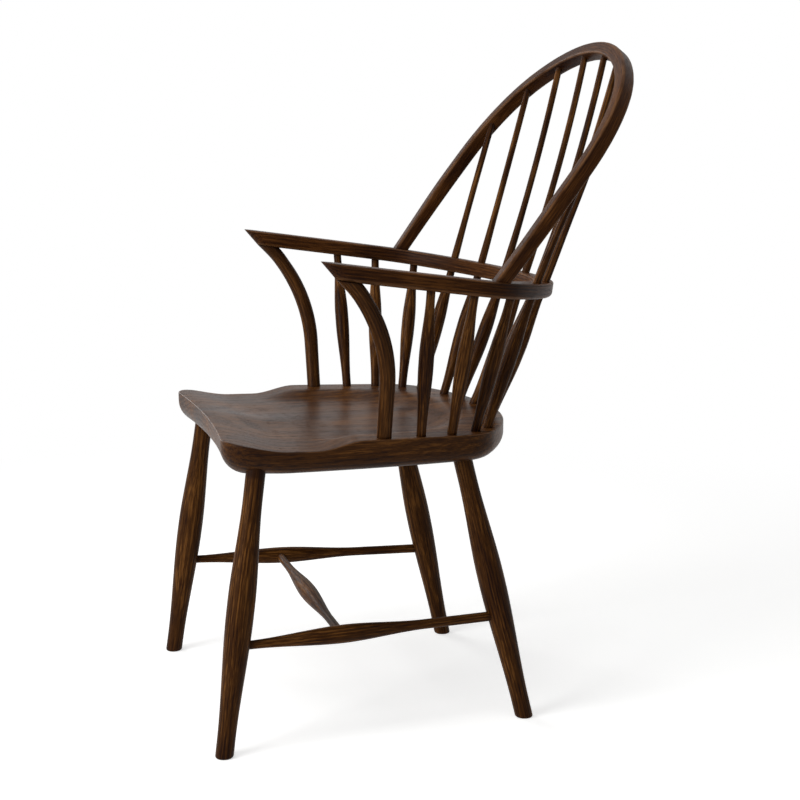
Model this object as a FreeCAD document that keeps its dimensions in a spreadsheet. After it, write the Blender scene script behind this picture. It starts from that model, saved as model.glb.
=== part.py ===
import FreeCAD, Part
import math
import os

import Sketcher

Vector = FreeCAD.Vector
Rotation = FreeCAD.Rotation
Placement = FreeCAD.Placement

UP = Vector(0, 0, 1)

# Driving dimensions, in millimetres and degrees.
# +X is the sitter's left, -Y is the front and +Z is up. Every Y is measured from the middle of
# the feet's depth, and the finished pieces are moved together so that the origin lies on the
# floor below the middle of the chair.
SIZES = (
    ("seat_height", 468.8, "top of the seat's deck above the floor, where Y is 0"),
    ("seat_slope", 1.26, "fall of the deck towards the rear"),
    ("seat_under_slope", 0.26, "fall of the underside towards the rear"),
    ("seat_thickness", 47.4, "plank from the deck to the underside, where Y is 0"),
    ("seat_front_y", -221.0, "front edge on the centre line"),
    ("seat_front_radius", 2100.0, "hollow of the front edge in plan"),
    ("seat_front_corner", 45.0, "front corners in plan"),
    ("seat_half_width", 253.0, "half the seat at its widest"),
    ("seat_widest_y", -100.0, "where the seat is widest"),
    ("seat_side_radius", 1860.0, "sides in plan"),
    ("seat_rear_corner", 74.0, "rear corners in plan"),
    ("seat_rear_radius", 360.0, "rear edge in plan"),
    ("seat_rear_y", 261.0, "rear edge on the centre line"),
    ("seat_under_edge", 25.0, "rounding of the edge below"),
    ("saddle_depth", 13.5, "deepest part of the saddle below the deck"),
    ("saddle_half_width", 208.0, "saddle behind the arm supports, half of it"),
    ("saddle_middle_y", -92.0, "where the saddle is widest"),
    ("saddle_rear_y", 196.0, "rear end of the saddle on the centre line"),
    ("saddle_roll_in", 52.0, "width over which the deck rolls into the saddle"),
    ("saddle_front_rise", 100.0, "length over which the saddle rises to the front edge"),
    ("saddle_run_out_y", -22.0, "where the saddle starts to run out over the sides"),
    ("saddle_run_out_length", 72.0, "length over which it does so"),
    ("pommel_half_width", 48.0, "ridge between the sitter's legs, half its width"),
    ("pommel_height", 6.5, "ridge above the saddle"),
    ("pommel_length", 190.0, "ridge from the front edge until it fades"),
    ("leg_foot_radius", 13.9, "leg at the floor"),
    ("leg_belly_radius", 20.9, "leg at its thickest"),
    ("leg_top_radius", 14.7, "leg where it enters the seat"),
    ("leg_tenon_length", 22.0, "leg inside the seat"),
    ("front_foot_half_width", 256.8, "front feet from the centre line"),
    ("front_foot_y", -243.0, "front feet"),
    ("front_leg_top_half_width", 229.2, "front legs at the underside of the seat"),
    ("front_leg_top_y", -183.8, "front legs at the underside of the seat"),
    ("rear_foot_half_width", 219.8, "rear feet from the centre line"),
    ("rear_foot_y", 245.7, "rear feet"),
    ("rear_leg_top_half_width", 186.0, "rear legs at the underside of the seat"),
    ("rear_leg_top_y", 150.1, "rear legs at the underside of the seat"),
    ("stretcher_height", 167.0, "axes of the stretchers above the floor"),
    ("side_stretcher_front_radius", 6.6, "side stretcher at the front leg"),
    ("side_stretcher_belly_radius", 14.1, "side stretcher at its thickest"),
    ("side_stretcher_rear_radius", 7.6, "side stretcher at the rear leg"),
    ("stretcher_belly_share", 0.385, "thickest place, as a share of the side stretcher's length"),
    ("cross_stretcher_end_radius", 6.6, "cross stretcher at its ends"),
    ("cross_stretcher_belly_radius", 14.0, "cross stretcher in its middle"),
    ("stretcher_tenon_length", 5.0, "stretcher tenons past the axis of what holds them"),
    ("arm_height", 727.5, "top of the arm bow above the floor, where Y is 0"),
    ("arm_slope", 8.12, "fall of the arm bow towards the rear"),
    ("arm_thickness", 24.0, "arm bow from top to underside"),
    ("arm_width", 34.0, "arm bow in plan"),
    ("arm_edge_easing", 2.2, "rounding along the arm bow's upper edges"),
    ("arm_under_easing", 4.5, "rounding along the arm bow's lower edges"),
    ("arm_half_width", 291.9, "centre line of the arm bow at its widest"),
    ("arm_widest_y", -116.0, "where the arm bow is widest, along its slope"),
    ("arm_side_radius", 3290.0, "sides of the arm bow"),
    ("arm_corner_radius", 110.0, "rear corners of the arm bow"),
    ("arm_rear_radius", 330.0, "rear of the arm bow"),
    ("arm_rear_y", 330.0, "centre line of the arm bow at the rear, along its slope"),
    ("arm_tip_y", -98.0, "points of the arms, along their slope"),
    ("arm_tip_taper", 27.0, "length over which an arm narrows to its point"),
    ("arm_tip_slant", 48.5, "slant of the arm's end from square"),
    ("support_foot_run", 414.0, "arm support on the seat's outline, from the rear middle"),
    ("support_foot_inset", 16.0, "arm support inside the seat's outline"),
    ("support_foot_radius", 11.3, "arm support at the seat"),
    ("support_neck_half_depth", 16.6, "arm support just below the arm, front to back"),
    ("support_head_half_width", 16.4, "arm support under the arm, across"),
    ("support_head_half_depth", 18.8, "arm support under the arm, front to back"),
    ("support_upright_height", 76.0, "height at which the arm support starts to bend forward"),
    ("support_foot_tenon_radius", 10.0, "arm support's tenon in the seat"),
    ("support_foot_tenon_length", 24.0, "arm support's tenon in the seat"),
    ("support_head_tenon_radius", 7.0, "arm support's tenon in the arm"),
    ("support_head_tenon_length", 15.0, "arm support's tenon in the arm"),
    ("spindle_foot_radius", 7.4, "spindles at the seat"),
    ("spindle_belly_radius", 11.5, "spindles at their thickest"),
    ("spindle_bow_radius", 6.6, "spindles at the arm bow"),
    ("spindle_tip_radius", 5.3, "long spindles above the arm bow"),
    ("spindle_foot_tenon_length", 18.0, "spindles inside the seat"),
    ("spindle_bow_tenon_length", 15.0, "short spindles inside the arm bow"),
    ("spindle_hoop_tenon_length", 12.0, "long spindles inside the hoop, from its inner face"),
    ("short_spindle_1_foot_run", 354.5, "first short spindle on the seat's outline"),
    ("short_spindle_2_foot_run", 303.5, "second short spindle on the seat's outline"),
    ("short_spindle_3_foot_run", 245.0, "third short spindle on the seat's outline"),
    ("short_spindle_foot_inset", 14.8, "first two short spindles inside the seat's outline"),
    ("corner_spindle_foot_inset", 23.0, "third short spindle inside the seat's outline"),
    ("short_spindle_1_top_run", 435.0, "first short spindle on the arm bow, from the rear middle"),
    ("short_spindle_2_top_run", 366.0, "second short spindle on the arm bow"),
    ("short_spindle_3_top_run", 295.0, "third short spindle on the arm bow"),
    ("long_spindle_1_foot_run", 202.0, "outermost long spindle on the seat's outline"),
    ("long_spindle_2_foot_run", 133.0, "second long spindle on the seat's outline"),
    ("long_spindle_3_foot_run", 81.0, "third long spindle on the seat's outline"),
    ("long_spindle_4_foot_run", 26.0, "innermost long spindle on the seat's outline"),
    ("long_spindle_foot_inset", 22.0, "inner long spindles inside the seat's outline"),
    ("outer_spindle_foot_inset", 16.0, "outermost long spindles inside the seat's outline"),
    ("long_spindle_1_bow_run", 219.0, "outermost long spindle on the arm bow"),
    ("long_spindle_2_bow_run", 159.0, "second long spindle on the arm bow"),
    ("long_spindle_3_bow_run", 96.5, "third long spindle on the arm bow"),
    ("long_spindle_4_bow_run", 32.0, "innermost long spindle on the arm bow"),
    ("long_spindle_bow_offset", 2.5, "long spindles outside the arm bow's centre line, half way through"),
    ("long_spindle_1_hoop_run", 327.5, "outermost long spindle on the hoop, from its crown"),
    ("long_spindle_2_hoop_run", 225.5, "second long spindle on the hoop"),
    ("long_spindle_3_hoop_run", 132.0, "third long spindle on the hoop"),
    ("long_spindle_4_hoop_run", 43.5, "innermost long spindle on the hoop"),
    ("hoop_foot_run", 325.0, "feet of the hoop on the arm bow, from the rear middle"),
    ("hoop_lean", 37.5, "lean of the hoop backwards from upright"),
    ("hoop_flare", 6.0, "lean of the hoop's feet outwards"),
    ("hoop_side_radius", 1471.0, "sides of the hoop"),
    ("hoop_side_turn", 8.0, "turn along a side of the hoop"),
    ("hoop_shoulder_radius", 211.0, "shoulders of the hoop"),
    ("hoop_crown_radius", 332.0, "crown of the hoop"),
    ("hoop_section_width", 22.8, "hoop's bar, seen from the front"),
    ("hoop_section_depth", 23.8, "hoop's bar, front to back"),
    ("hoop_section_easing", 4.5, "rounding of the bar's edges"),
    ("hoop_tenon_radius", 7.5, "hoop's tenons in the arm bow"),
    ("hoop_tenon_length", 20.0, "hoop's tenons in the arm bow"),
    ("joint_clearance", 0.15, "gap round a tenon"),
    ("socket_end_clearance", 0.3, "gap beyond a tenon's end"),
    ("shoulder_clearance", 0.1, "gap under a shoulder"),
)

# Working room and fineness of the model itself.
SUPPORT_RINGS = 9
TURNED_RINGS = 14
UPPER_SPINDLE_RINGS = 10
SOCKET_LEAD = 8
HOOP_SOCKET_LEAD = 32
TIP_CUTTER_ROOM = 12
LEVEL_TOLERANCE = 1e-4
SPINDLE_THINNING = 0.4
SADDLE_GRID = 20
SADDLE_SQUARENESS = 3.2
SADDLE_MARGIN = 0.4
DECK_ALLOWANCE = 10

document = FreeCAD.newDocument("captains_chair")
sheet = document.addObject("Spreadsheet::Sheet", "sizes")
for row, (alias, value, meaning) in enumerate(SIZES, start=1):
    sheet.set(f"A{row}", meaning)
    sheet.set(f"B{row}", str(value))
    sheet.setAlias(f"B{row}", alias)
document.recompute()


def size(alias):
    """Value of one driving dimension."""
    return float(sheet.get(alias))


def bound(alias):
    """The same dimension, as an expression names it."""
    return f"sizes.{alias}"


# Turned profiles: the shares of a piece's length between which it swells to its belly, and
# between which it shrinks again.
LEG_SWELL = (0.06, 0.52, 0.55, 0.92)
SIDE_STRETCHER_SWELL = (0, size("stretcher_belly_share"), size("stretcher_belly_share"), 0.72)
CROSS_STRETCHER_SWELL = (0.14, 0.5, 0.5, 0.86)
SPINDLE_SWELL = (0.05, 0.48, 0.55, 0.95)


class PlanOutline:
    """Half of a symmetric outline: rear, corner and side arcs, each tangent to the next."""

    def __init__(self, rear_y, rear_radius, corner_radius, side_x, side_y, side_radius):
        rear_centre = (0, rear_y - rear_radius)
        side_centre = (side_x - side_radius, side_y)
        corner_centre = self.touching(rear_centre, rear_radius - corner_radius,
                                      side_centre, side_radius - corner_radius)
        rear_end = self.bearing(rear_centre, corner_centre)
        corner_end = self.bearing(side_centre, corner_centre)
        self.arcs = [(rear_centre, rear_radius, math.pi / 2, rear_end),
                     (corner_centre, corner_radius, rear_end, corner_end),
                     (side_centre, side_radius, corner_end, corner_end)]

    @staticmethod
    def touching(first, first_distance, second, second_distance):
        """Point at the given distances from two centres: of the two such, the one further back."""
        gap = math.dist(first, second)
        along = (first_distance ** 2 - second_distance ** 2 + gap ** 2) / (2 * gap)
        across = math.sqrt(first_distance ** 2 - along ** 2)
        ahead = ((second[0] - first[0]) / gap, (second[1] - first[1]) / gap)
        corners = [(first[0] + along * ahead[0] + turn * across * ahead[1],
                    first[1] + along * ahead[1] - turn * across * ahead[0]) for turn in (1, -1)]
        return max(corners, key=lambda point: point[1])

    @staticmethod
    def bearing(start, end):
        """Direction from one point to another, anticlockwise from +X."""
        return math.atan2(end[1] - start[1], end[0] - start[0])

    def end_side_at(self, y):
        """Let the side arc end at the given Y."""
        centre, radius, start, _ = self.arcs[2]
        self.arcs[2] = (centre, radius, start, math.asin((y - centre[1]) / radius))

    def place(self, run, outward=0):
        """Point at a distance along the outline from its rear middle, and its outward direction."""
        for index, (centre, radius, start, end) in enumerate(self.arcs):
            length = radius * (start - end)
            if run <= length or index == len(self.arcs) - 1:
                angle = start - run / radius
                normal = Vector(math.cos(angle), math.sin(angle), 0)
                return Vector(centre[0], centre[1], 0) + normal * (radius + outward), normal
            run -= length

    def length(self):
        """Length of the half outline."""
        return sum(radius * (start - end) for _, radius, start, end in self.arcs)


def arc_of(centre, radius, start, end, mirror=False):
    """Arc between two bearings in the XY plane; mirror puts it on the other side of X = 0."""
    low, high = sorted((start, end))
    if mirror:
        centre = (-centre[0], centre[1])
        low, high = math.pi - high, math.pi - low
    circle = Part.Circle(Vector(centre[0], centre[1], 0), UP, radius)
    return Part.ArcOfCircle(circle, low, high)


def origin_plane(body, role):
    """One of a body's own planes."""
    return next(item for item in body.Origin.OriginFeatures if item.Role == role)


def new_body(name):
    """PartDesign body."""
    return document.addObject("PartDesign::Body", name)


def new_sketch(body, name, role):
    """Sketch on one of its body's own planes."""
    sketch = body.newObject("Sketcher::SketchObject", name)
    sketch.AttachmentSupport = [(origin_plane(body, role), "")]
    sketch.MapMode = "FlatFace"
    return sketch


def draw(sketch, curve, radius_expression=None):
    """Add a curve to a sketch, and bind its radius to the sheet where one is given."""
    index = sketch.addGeometry(curve, False)
    if radius_expression:
        constraint = sketch.addConstraint(Sketcher.Constraint("Radius", index, curve.Radius))
        sketch.setExpression(f"Constraints[{constraint}]", radius_expression)
    return index


def along(point, direction):
    """Placement whose own Z looks along a direction."""
    return Placement(point, Rotation(UP, direction))


def path_point(path, share):
    """Point and direction at a share of a path's length."""
    parameter = path.parameterAtDistance(share * path.length(), path.FirstParameter)
    return path.value(parameter), Vector(*path.tangent(parameter)[0])


def cylinder(name, start, direction, radius_expression, length_expression):
    """Round bar from a point along a direction."""
    bar = document.addObject("Part::Cylinder", name)
    bar.setExpression("Radius", radius_expression)
    bar.setExpression("Height", length_expression)
    bar.Placement = along(start, direction)
    return bar


def block(name, corner, extent):
    """Box from its lowest corner."""
    box = document.addObject("Part::Box", name)
    box.Length, box.Width, box.Height = extent
    box.Placement.Base = corner
    return box


def lofted_bar(name, rings):
    """Smooth bar through round rings, each (point, direction, radius expression)."""
    sections = []
    for index, (point, direction, radius_expression) in enumerate(rings):
        ring = document.addObject("Part::Circle", f"{name}_ring_{index}")
        ring.setExpression("Radius", radius_expression)
        ring.Placement = along(point, direction)
        sections.append(ring)
    bar = document.addObject("Part::Loft", name)
    bar.Sections = sections
    bar.Solid = True
    return bar


def smooth_step(share):
    """Rise from 0 to 1 with level ends."""
    share = min(max(share, 0), 1)
    return share * share * (3 - 2 * share)


def swelling(share, swell):
    """How far a turned piece has swelled at a share of its length, from 0 to 1."""
    rise_start, rise_end, fall_start, fall_end = swell
    if share <= fall_start:
        return smooth_step((share - rise_start) / (rise_end - rise_start))
    return 1 - smooth_step((share - fall_start) / (fall_end - fall_start))


def turned_radius(share, swell, start_alias, belly_alias, end_alias):
    """Expression for a turned piece's radius at a share of its length."""
    end = bound(start_alias if share < swell[2] else end_alias)
    return f"{end} + {swelling(share, swell):.4f} * ({bound(belly_alias)} - {end})"


def turned_bar(name, path, swell, *aliases, reach=1):
    """Bar turned to a profile along a share of a path: aliases name its start, belly and end."""
    rings = []
    for step in range(TURNED_RINGS + 1):
        share = step / TURNED_RINGS
        radius = turned_radius(share, swell, *aliases)
        rings.append((*path_point(path, share * reach), radius))
    return lofted_bar(name, rings)


def fused(name, pieces):
    """One solid out of several that overlap or share faces."""
    whole = document.addObject("Part::MultiFuse", name)
    whole.Shapes = pieces
    return whole


def carved(name, piece, cutters):
    """A piece less its sockets."""
    if len(cutters) == 1:
        tool = cutters[0]
    else:
        tool = fused(f"{name}_cutters", cutters)
    result = document.addObject("Part::Cut", name)
    result.Base = piece
    result.Tool = tool
    return result


def mirrored(name, piece):
    """The same piece for the sitter's right."""
    twin = document.addObject("Part::Mirroring", name)
    twin.Source = piece
    twin.Normal = Vector(1, 0, 0)
    return twin


def socket(name, mouth, inward, radius_alias, depth_expression, lead=SOCKET_LEAD):
    """Cutter for a round blind hole, which also clears a short way in front of its mouth."""
    direction = Vector(inward).normalize()
    radius = f"{bound(radius_alias)} + {bound('joint_clearance')}"
    depth = f"{depth_expression} + {bound('socket_end_clearance')} + {lead}"
    return cylinder(name, mouth - direction * lead, direction, radius, depth)


def sloped(height, slope):
    """Frame above the middle of the feet, whose plane falls towards the rear."""
    return Placement(Vector(0, 0, height), Rotation(Vector(1, 0, 0), -slope))


# Frames of the deck, the seat's underside and the arm bow, and the outlines that everything
# stands on.
deck_frame = sloped(size("seat_height"), size("seat_slope"))
under_frame = sloped(size("seat_height") - size("seat_thickness"), size("seat_under_slope"))
arm_frame = sloped(size("arm_height"), size("arm_slope"))

seat_outline = PlanOutline(size("seat_rear_y"), size("seat_rear_radius"), size("seat_rear_corner"),
                           size("seat_half_width"), size("seat_widest_y"), size("seat_side_radius"))
arm_outline = PlanOutline(size("arm_rear_y"), size("arm_rear_radius"), size("arm_corner_radius"),
                          size("arm_half_width"), size("arm_widest_y"), size("arm_side_radius"))
arm_outline.end_side_at(size("arm_tip_y"))


def on_deck(run_alias, inset_alias):
    """Point on the seat's deck, from its run along the outline and its inset."""
    point, _ = seat_outline.place(size(run_alias), -size(inset_alias))
    return deck_frame.multVec(point)


def on_arm(run, outward=0, depth=0):
    """Point on the arm bow's top, or a depth below it."""
    point, _ = arm_outline.place(run, outward)
    return arm_frame.multVec(point - UP * depth)


deck_up = deck_frame.Rotation.multVec(UP)
arm_up = arm_frame.Rotation.multVec(UP)


def height_on_line(foot, top, z):
    """Point of a straight line at a height."""
    return foot + (top - foot) * ((z - foot.z) / (top.z - foot.z))


def under_seat(x_alias, y_alias):
    """Point on the plane of the seat's underside."""
    x, y = size(x_alias), size(y_alias)
    return Vector(x, y, under_frame.Base.z - y * math.tan(math.radians(size("seat_under_slope"))))


# Legs.
LEG_BELOW_FLOOR = 6
leg_lines = {}
for row in ("front", "rear"):
    foot = Vector(size(f"{row}_foot_half_width"), size(f"{row}_foot_y"), 0)
    leg_lines[row] = (foot, under_seat(f"{row}_leg_top_half_width", f"{row}_leg_top_y"))

stretcher_ends = {row: height_on_line(*line, size("stretcher_height")) for row, line in leg_lines.items()}
stretcher_run = stretcher_ends["rear"] - stretcher_ends["front"]
stretcher_ahead = Vector(stretcher_run).normalize()
cross_end = stretcher_ends["front"] + stretcher_run * size("stretcher_belly_share")


def leg(row, towards_stretcher):
    """Left leg of a row, with its foot cut flat and the stretcher's socket."""
    foot, top = leg_lines[row]
    name = f"leg_{row}_left"
    direction = (top - foot).normalize()
    path = Part.LineSegment(foot, top)
    shaft = turned_bar(f"{name}_shaft", path, LEG_SWELL,
                       "leg_foot_radius", "leg_belly_radius", "leg_top_radius")
    heel = cylinder(f"{name}_heel", foot - direction * LEG_BELOW_FLOOR, direction,
                    bound("leg_foot_radius"), f"{LEG_BELOW_FLOOR}")
    tenon = cylinder(f"{name}_tenon", top, direction, bound("leg_top_radius"), bound("leg_tenon_length"))
    blank = fused(f"{name}_blank", [heel, shaft, tenon])
    reach = 2 * size("leg_foot_radius")
    below = block(f"{name}_floor", foot - Vector(reach, reach, reach), Vector(2 * reach, 2 * reach, reach))
    end_alias = f"side_stretcher_{row}_radius"
    past_axis = f"{bound('leg_belly_radius')} + {bound('stretcher_tenon_length')}"
    mouth = stretcher_ends[row] + towards_stretcher * size("leg_belly_radius")
    hole = socket(f"{name}_socket", mouth, towards_stretcher * -1, end_alias, past_axis)
    return carved(name, blank, [below, hole])


pieces = {}


def add_piece(node, piece):
    """Give a finished piece its node's name."""
    piece.Label = node
    pieces[node] = piece


def add_pair(stem, piece, suffix=""):
    """Add a left piece and its mirror image on the right."""
    add_piece(f"{stem}_left{suffix}", piece)
    add_piece(f"{stem}_right{suffix}", mirrored(f"{stem}_right{suffix}_mirror", piece))


add_pair("leg_front", leg("front", stretcher_ahead))
add_pair("leg_rear", leg("rear", stretcher_ahead * -1))

# Side stretchers, with the cross stretcher's socket in their belly.
LEG_SURFACE_GAP = 0.5
surface = {}
for row, sign in (("front", 1), ("rear", -1)):
    foot, top = leg_lines[row]
    share = (stretcher_ends[row] - foot).Length / (top - foot).Length
    swelled = swelling(share, LEG_SWELL)
    radius = size("leg_foot_radius") + swelled * (size("leg_belly_radius") - size("leg_foot_radius"))
    surface[row] = stretcher_ends[row] + stretcher_ahead * sign * (radius - LEG_SURFACE_GAP)


def side_stretcher():
    """Left side stretcher, tenoned into both legs past their axes."""
    name = "side_stretcher_left"
    path = Part.LineSegment(surface["front"], surface["rear"])
    shaft = turned_bar(f"{name}_shaft", path, SIDE_STRETCHER_SWELL,
                       "side_stretcher_front_radius", "side_stretcher_belly_radius",
                       "side_stretcher_rear_radius")
    tenons = []
    for row, sign in (("front", -1), ("rear", 1)):
        inside = (surface[row] - stretcher_ends[row]).Length
        length = f"{inside} + {bound('stretcher_tenon_length')}"
        tenons.append(cylinder(f"{name}_{row}_tenon", surface[row], stretcher_ahead * sign,
                               bound(f"side_stretcher_{row}_radius"), length))
    blank = fused(f"{name}_blank", [shaft] + tenons)
    inward = Vector(1, 0, 0)
    mouth = cross_end - inward * size("side_stretcher_belly_radius")
    depth = f"{bound('side_stretcher_belly_radius')} + {bound('stretcher_tenon_length')}"
    hole = socket(f"{name}_socket", mouth, inward, "cross_stretcher_end_radius", depth)
    return carved(name, blank, [hole])


add_pair("side_stretcher", side_stretcher())


def cross_stretcher():
    """Stretcher between the bellies of the side stretchers."""
    name = "cross_stretcher"
    reach = cross_end.x - size("side_stretcher_belly_radius") + LEG_SURFACE_GAP
    start = Vector(-reach, cross_end.y, cross_end.z)
    end = Vector(reach, cross_end.y, cross_end.z)
    shaft = turned_bar(f"{name}_shaft", Part.LineSegment(start, end), CROSS_STRETCHER_SWELL,
                       "cross_stretcher_end_radius", "cross_stretcher_belly_radius",
                       "cross_stretcher_end_radius")
    length = f"{cross_end.x - reach} + {bound('stretcher_tenon_length')}"
    tenons = [cylinder(f"{name}_tenon_{index}", point, direction,
                       bound("cross_stretcher_end_radius"), length)
              for index, (point, direction) in enumerate(((start, Vector(-1, 0, 0)),
                                                          (end, Vector(1, 0, 0))))]
    return fused(name, [shaft] + tenons)


add_piece("cross_stretcher", cross_stretcher())

# Spindles. Each carries its own sockets' cutters for the seat, the arm bow and the hoop.
seat_cutters = []
arm_cutters = []
hoop_cutters = []


def mirror_cutter(cutters, cutter):
    """Add a cutter and its mirror image."""
    cutters.append(cutter)
    cutters.append(mirrored(f"{cutter.Name}_mirror", cutter))


def short_spindle(number):
    """Short spindle between the seat and the underside of the arm bow."""
    name = f"short_spindle_left_{number}"
    inset = "corner_spindle_foot_inset" if number == 3 else "short_spindle_foot_inset"
    foot = on_deck(f"short_spindle_{number}_foot_run", inset)
    top = on_arm(size(f"short_spindle_{number}_top_run"), depth=size("arm_thickness"))
    direction = (top - foot).normalize()
    path = Part.LineSegment(foot, top)
    shaft = turned_bar(f"{name}_shaft", path, SPINDLE_SWELL,
                       "spindle_foot_radius", "spindle_belly_radius", "spindle_bow_radius")
    foot_tenon = cylinder(f"{name}_foot", foot, direction * -1, bound("spindle_foot_radius"),
                          bound("spindle_foot_tenon_length"))
    top_tenon = cylinder(f"{name}_top", top, direction, bound("spindle_bow_radius"),
                         bound("spindle_bow_tenon_length"))
    mirror_cutter(seat_cutters, socket(f"{name}_seat_socket", foot, direction * -1,
                                       "spindle_foot_radius", bound("spindle_foot_tenon_length")))
    mirror_cutter(arm_cutters, socket(f"{name}_arm_socket", top, direction,
                                      "spindle_bow_radius", bound("spindle_bow_tenon_length")))
    return fused(name, [foot_tenon, shaft, top_tenon])


for number in (1, 2, 3):
    add_pair("short_spindle", short_spindle(number), f"_{number}")


class HoopLine:
    """Centre line of the hoop in its own plane: X across, Y up the lean, origin between its feet."""

    def __init__(self, foot_half_width):
        flare = math.radians(size("hoop_flare"))
        side_turn = math.radians(size("hoop_side_turn"))
        side_radius = size("hoop_side_radius")
        shoulder_radius = size("hoop_shoulder_radius")
        crown_radius = size("hoop_crown_radius")
        side_end = side_turn - flare
        side_centre = (foot_half_width - side_radius * math.cos(flare), side_radius * math.sin(flare))
        shoulder_start = (side_centre[0] + side_radius * math.cos(side_end),
                          side_centre[1] + side_radius * math.sin(side_end))
        shoulder_centre = (shoulder_start[0] - shoulder_radius * math.cos(side_end),
                           shoulder_start[1] - shoulder_radius * math.sin(side_end))
        shoulder_end = math.acos(-shoulder_centre[0] / (shoulder_radius - crown_radius))
        crown_centre = (0, shoulder_centre[1] + (shoulder_radius - crown_radius) * math.sin(shoulder_end))
        # Each arc is (centre, radius, bearing at its foot end, bearing at its crown end).
        self.arcs = [(side_centre, side_radius, -flare, side_end),
                     (shoulder_centre, shoulder_radius, side_end, shoulder_end),
                     (crown_centre, crown_radius, shoulder_end, math.pi / 2)]

    def place(self, run):
        """Point at a distance along the hoop from its crown, and its outward direction."""
        for centre, radius, foot_end, crown_end in reversed(self.arcs):
            length = radius * (crown_end - foot_end)
            if run <= length or radius == self.arcs[0][1]:
                angle = crown_end - run / radius
                normal = Vector(math.cos(angle), math.sin(angle), 0)
                return Vector(centre[0], centre[1], 0) + normal * radius, normal
            run -= length

    def foot_direction(self):
        """Direction down the hoop at its foot."""
        angle = self.arcs[0][2]
        return Vector(math.sin(angle), -math.cos(angle), 0)


hoop_foot = on_arm(size("hoop_foot_run"))
hoop_line = HoopLine(hoop_foot.x)
hoop_frame = Placement(Vector(0, hoop_foot.y, hoop_foot.z),
                       Rotation(Vector(1, 0, 0), 90 - size("hoop_lean")))


def long_spindle(number):
    """Long spindle from the seat through the arm bow into the hoop, bent a little on its way."""
    name = f"long_spindle_left_{number}"
    inset = "outer_spindle_foot_inset" if number == 1 else "long_spindle_foot_inset"
    foot = on_deck(f"long_spindle_{number}_foot_run", inset)
    middle = on_arm(size(f"long_spindle_{number}_bow_run"), size("long_spindle_bow_offset"),
                    size("arm_thickness") / 2)
    crown_point, crown_normal = hoop_line.place(size(f"long_spindle_{number}_hoop_run"))
    inner_face = crown_point - crown_normal * (size("hoop_section_width") / 2)
    top = hoop_frame.multVec(inner_face)
    path = Part.Arc(foot, middle, top)
    bow_share = path.length(path.FirstParameter, path.parameter(middle)) / path.length()
    lower = turned_bar(f"{name}_lower", path, SPINDLE_SWELL, "spindle_foot_radius",
                       "spindle_belly_radius", "spindle_bow_radius", reach=bow_share)
    rings = []
    for step in range(UPPER_SPINDLE_RINGS + 1):
        share = step / UPPER_SPINDLE_RINGS
        thinned = smooth_step(share / SPINDLE_THINNING)
        radius = f"{bound('spindle_bow_radius')} + {thinned:.4f} * " \
                 f"({bound('spindle_tip_radius')} - {bound('spindle_bow_radius')})"
        rings.append((*path_point(path, bow_share + share * (1 - bow_share)), radius))
    upper = lofted_bar(f"{name}_upper", rings)
    foot_point, foot_direction = path_point(path, 0)
    middle_point, middle_direction = path_point(path, bow_share)
    top_point, top_direction = path_point(path, 1)
    foot_tenon = cylinder(f"{name}_foot", foot_point, foot_direction * -1, bound("spindle_foot_radius"),
                          bound("spindle_foot_tenon_length"))
    top_tenon = cylinder(f"{name}_top", top_point, top_direction, bound("spindle_tip_radius"),
                         bound("spindle_hoop_tenon_length"))
    mirror_cutter(seat_cutters, socket(f"{name}_seat_socket", foot_point, foot_direction * -1,
                                       "spindle_foot_radius", bound("spindle_foot_tenon_length")))
    below_bow = middle_point - middle_direction * size("arm_thickness")
    mirror_cutter(arm_cutters, socket(f"{name}_arm_hole", below_bow, middle_direction, "spindle_bow_radius",
                                      f"2 * {bound('arm_thickness')}", lead=0))
    mirror_cutter(hoop_cutters, socket(f"{name}_hoop_socket", top_point, top_direction,
                                       "spindle_tip_radius", bound("spindle_hoop_tenon_length"),
                                       HOOP_SOCKET_LEAD))
    return fused(name, [foot_tenon, lower, upper, top_tenon])


for number in (1, 2, 3, 4):
    add_pair("long_spindle", long_spindle(number), f"_{number}")


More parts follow.
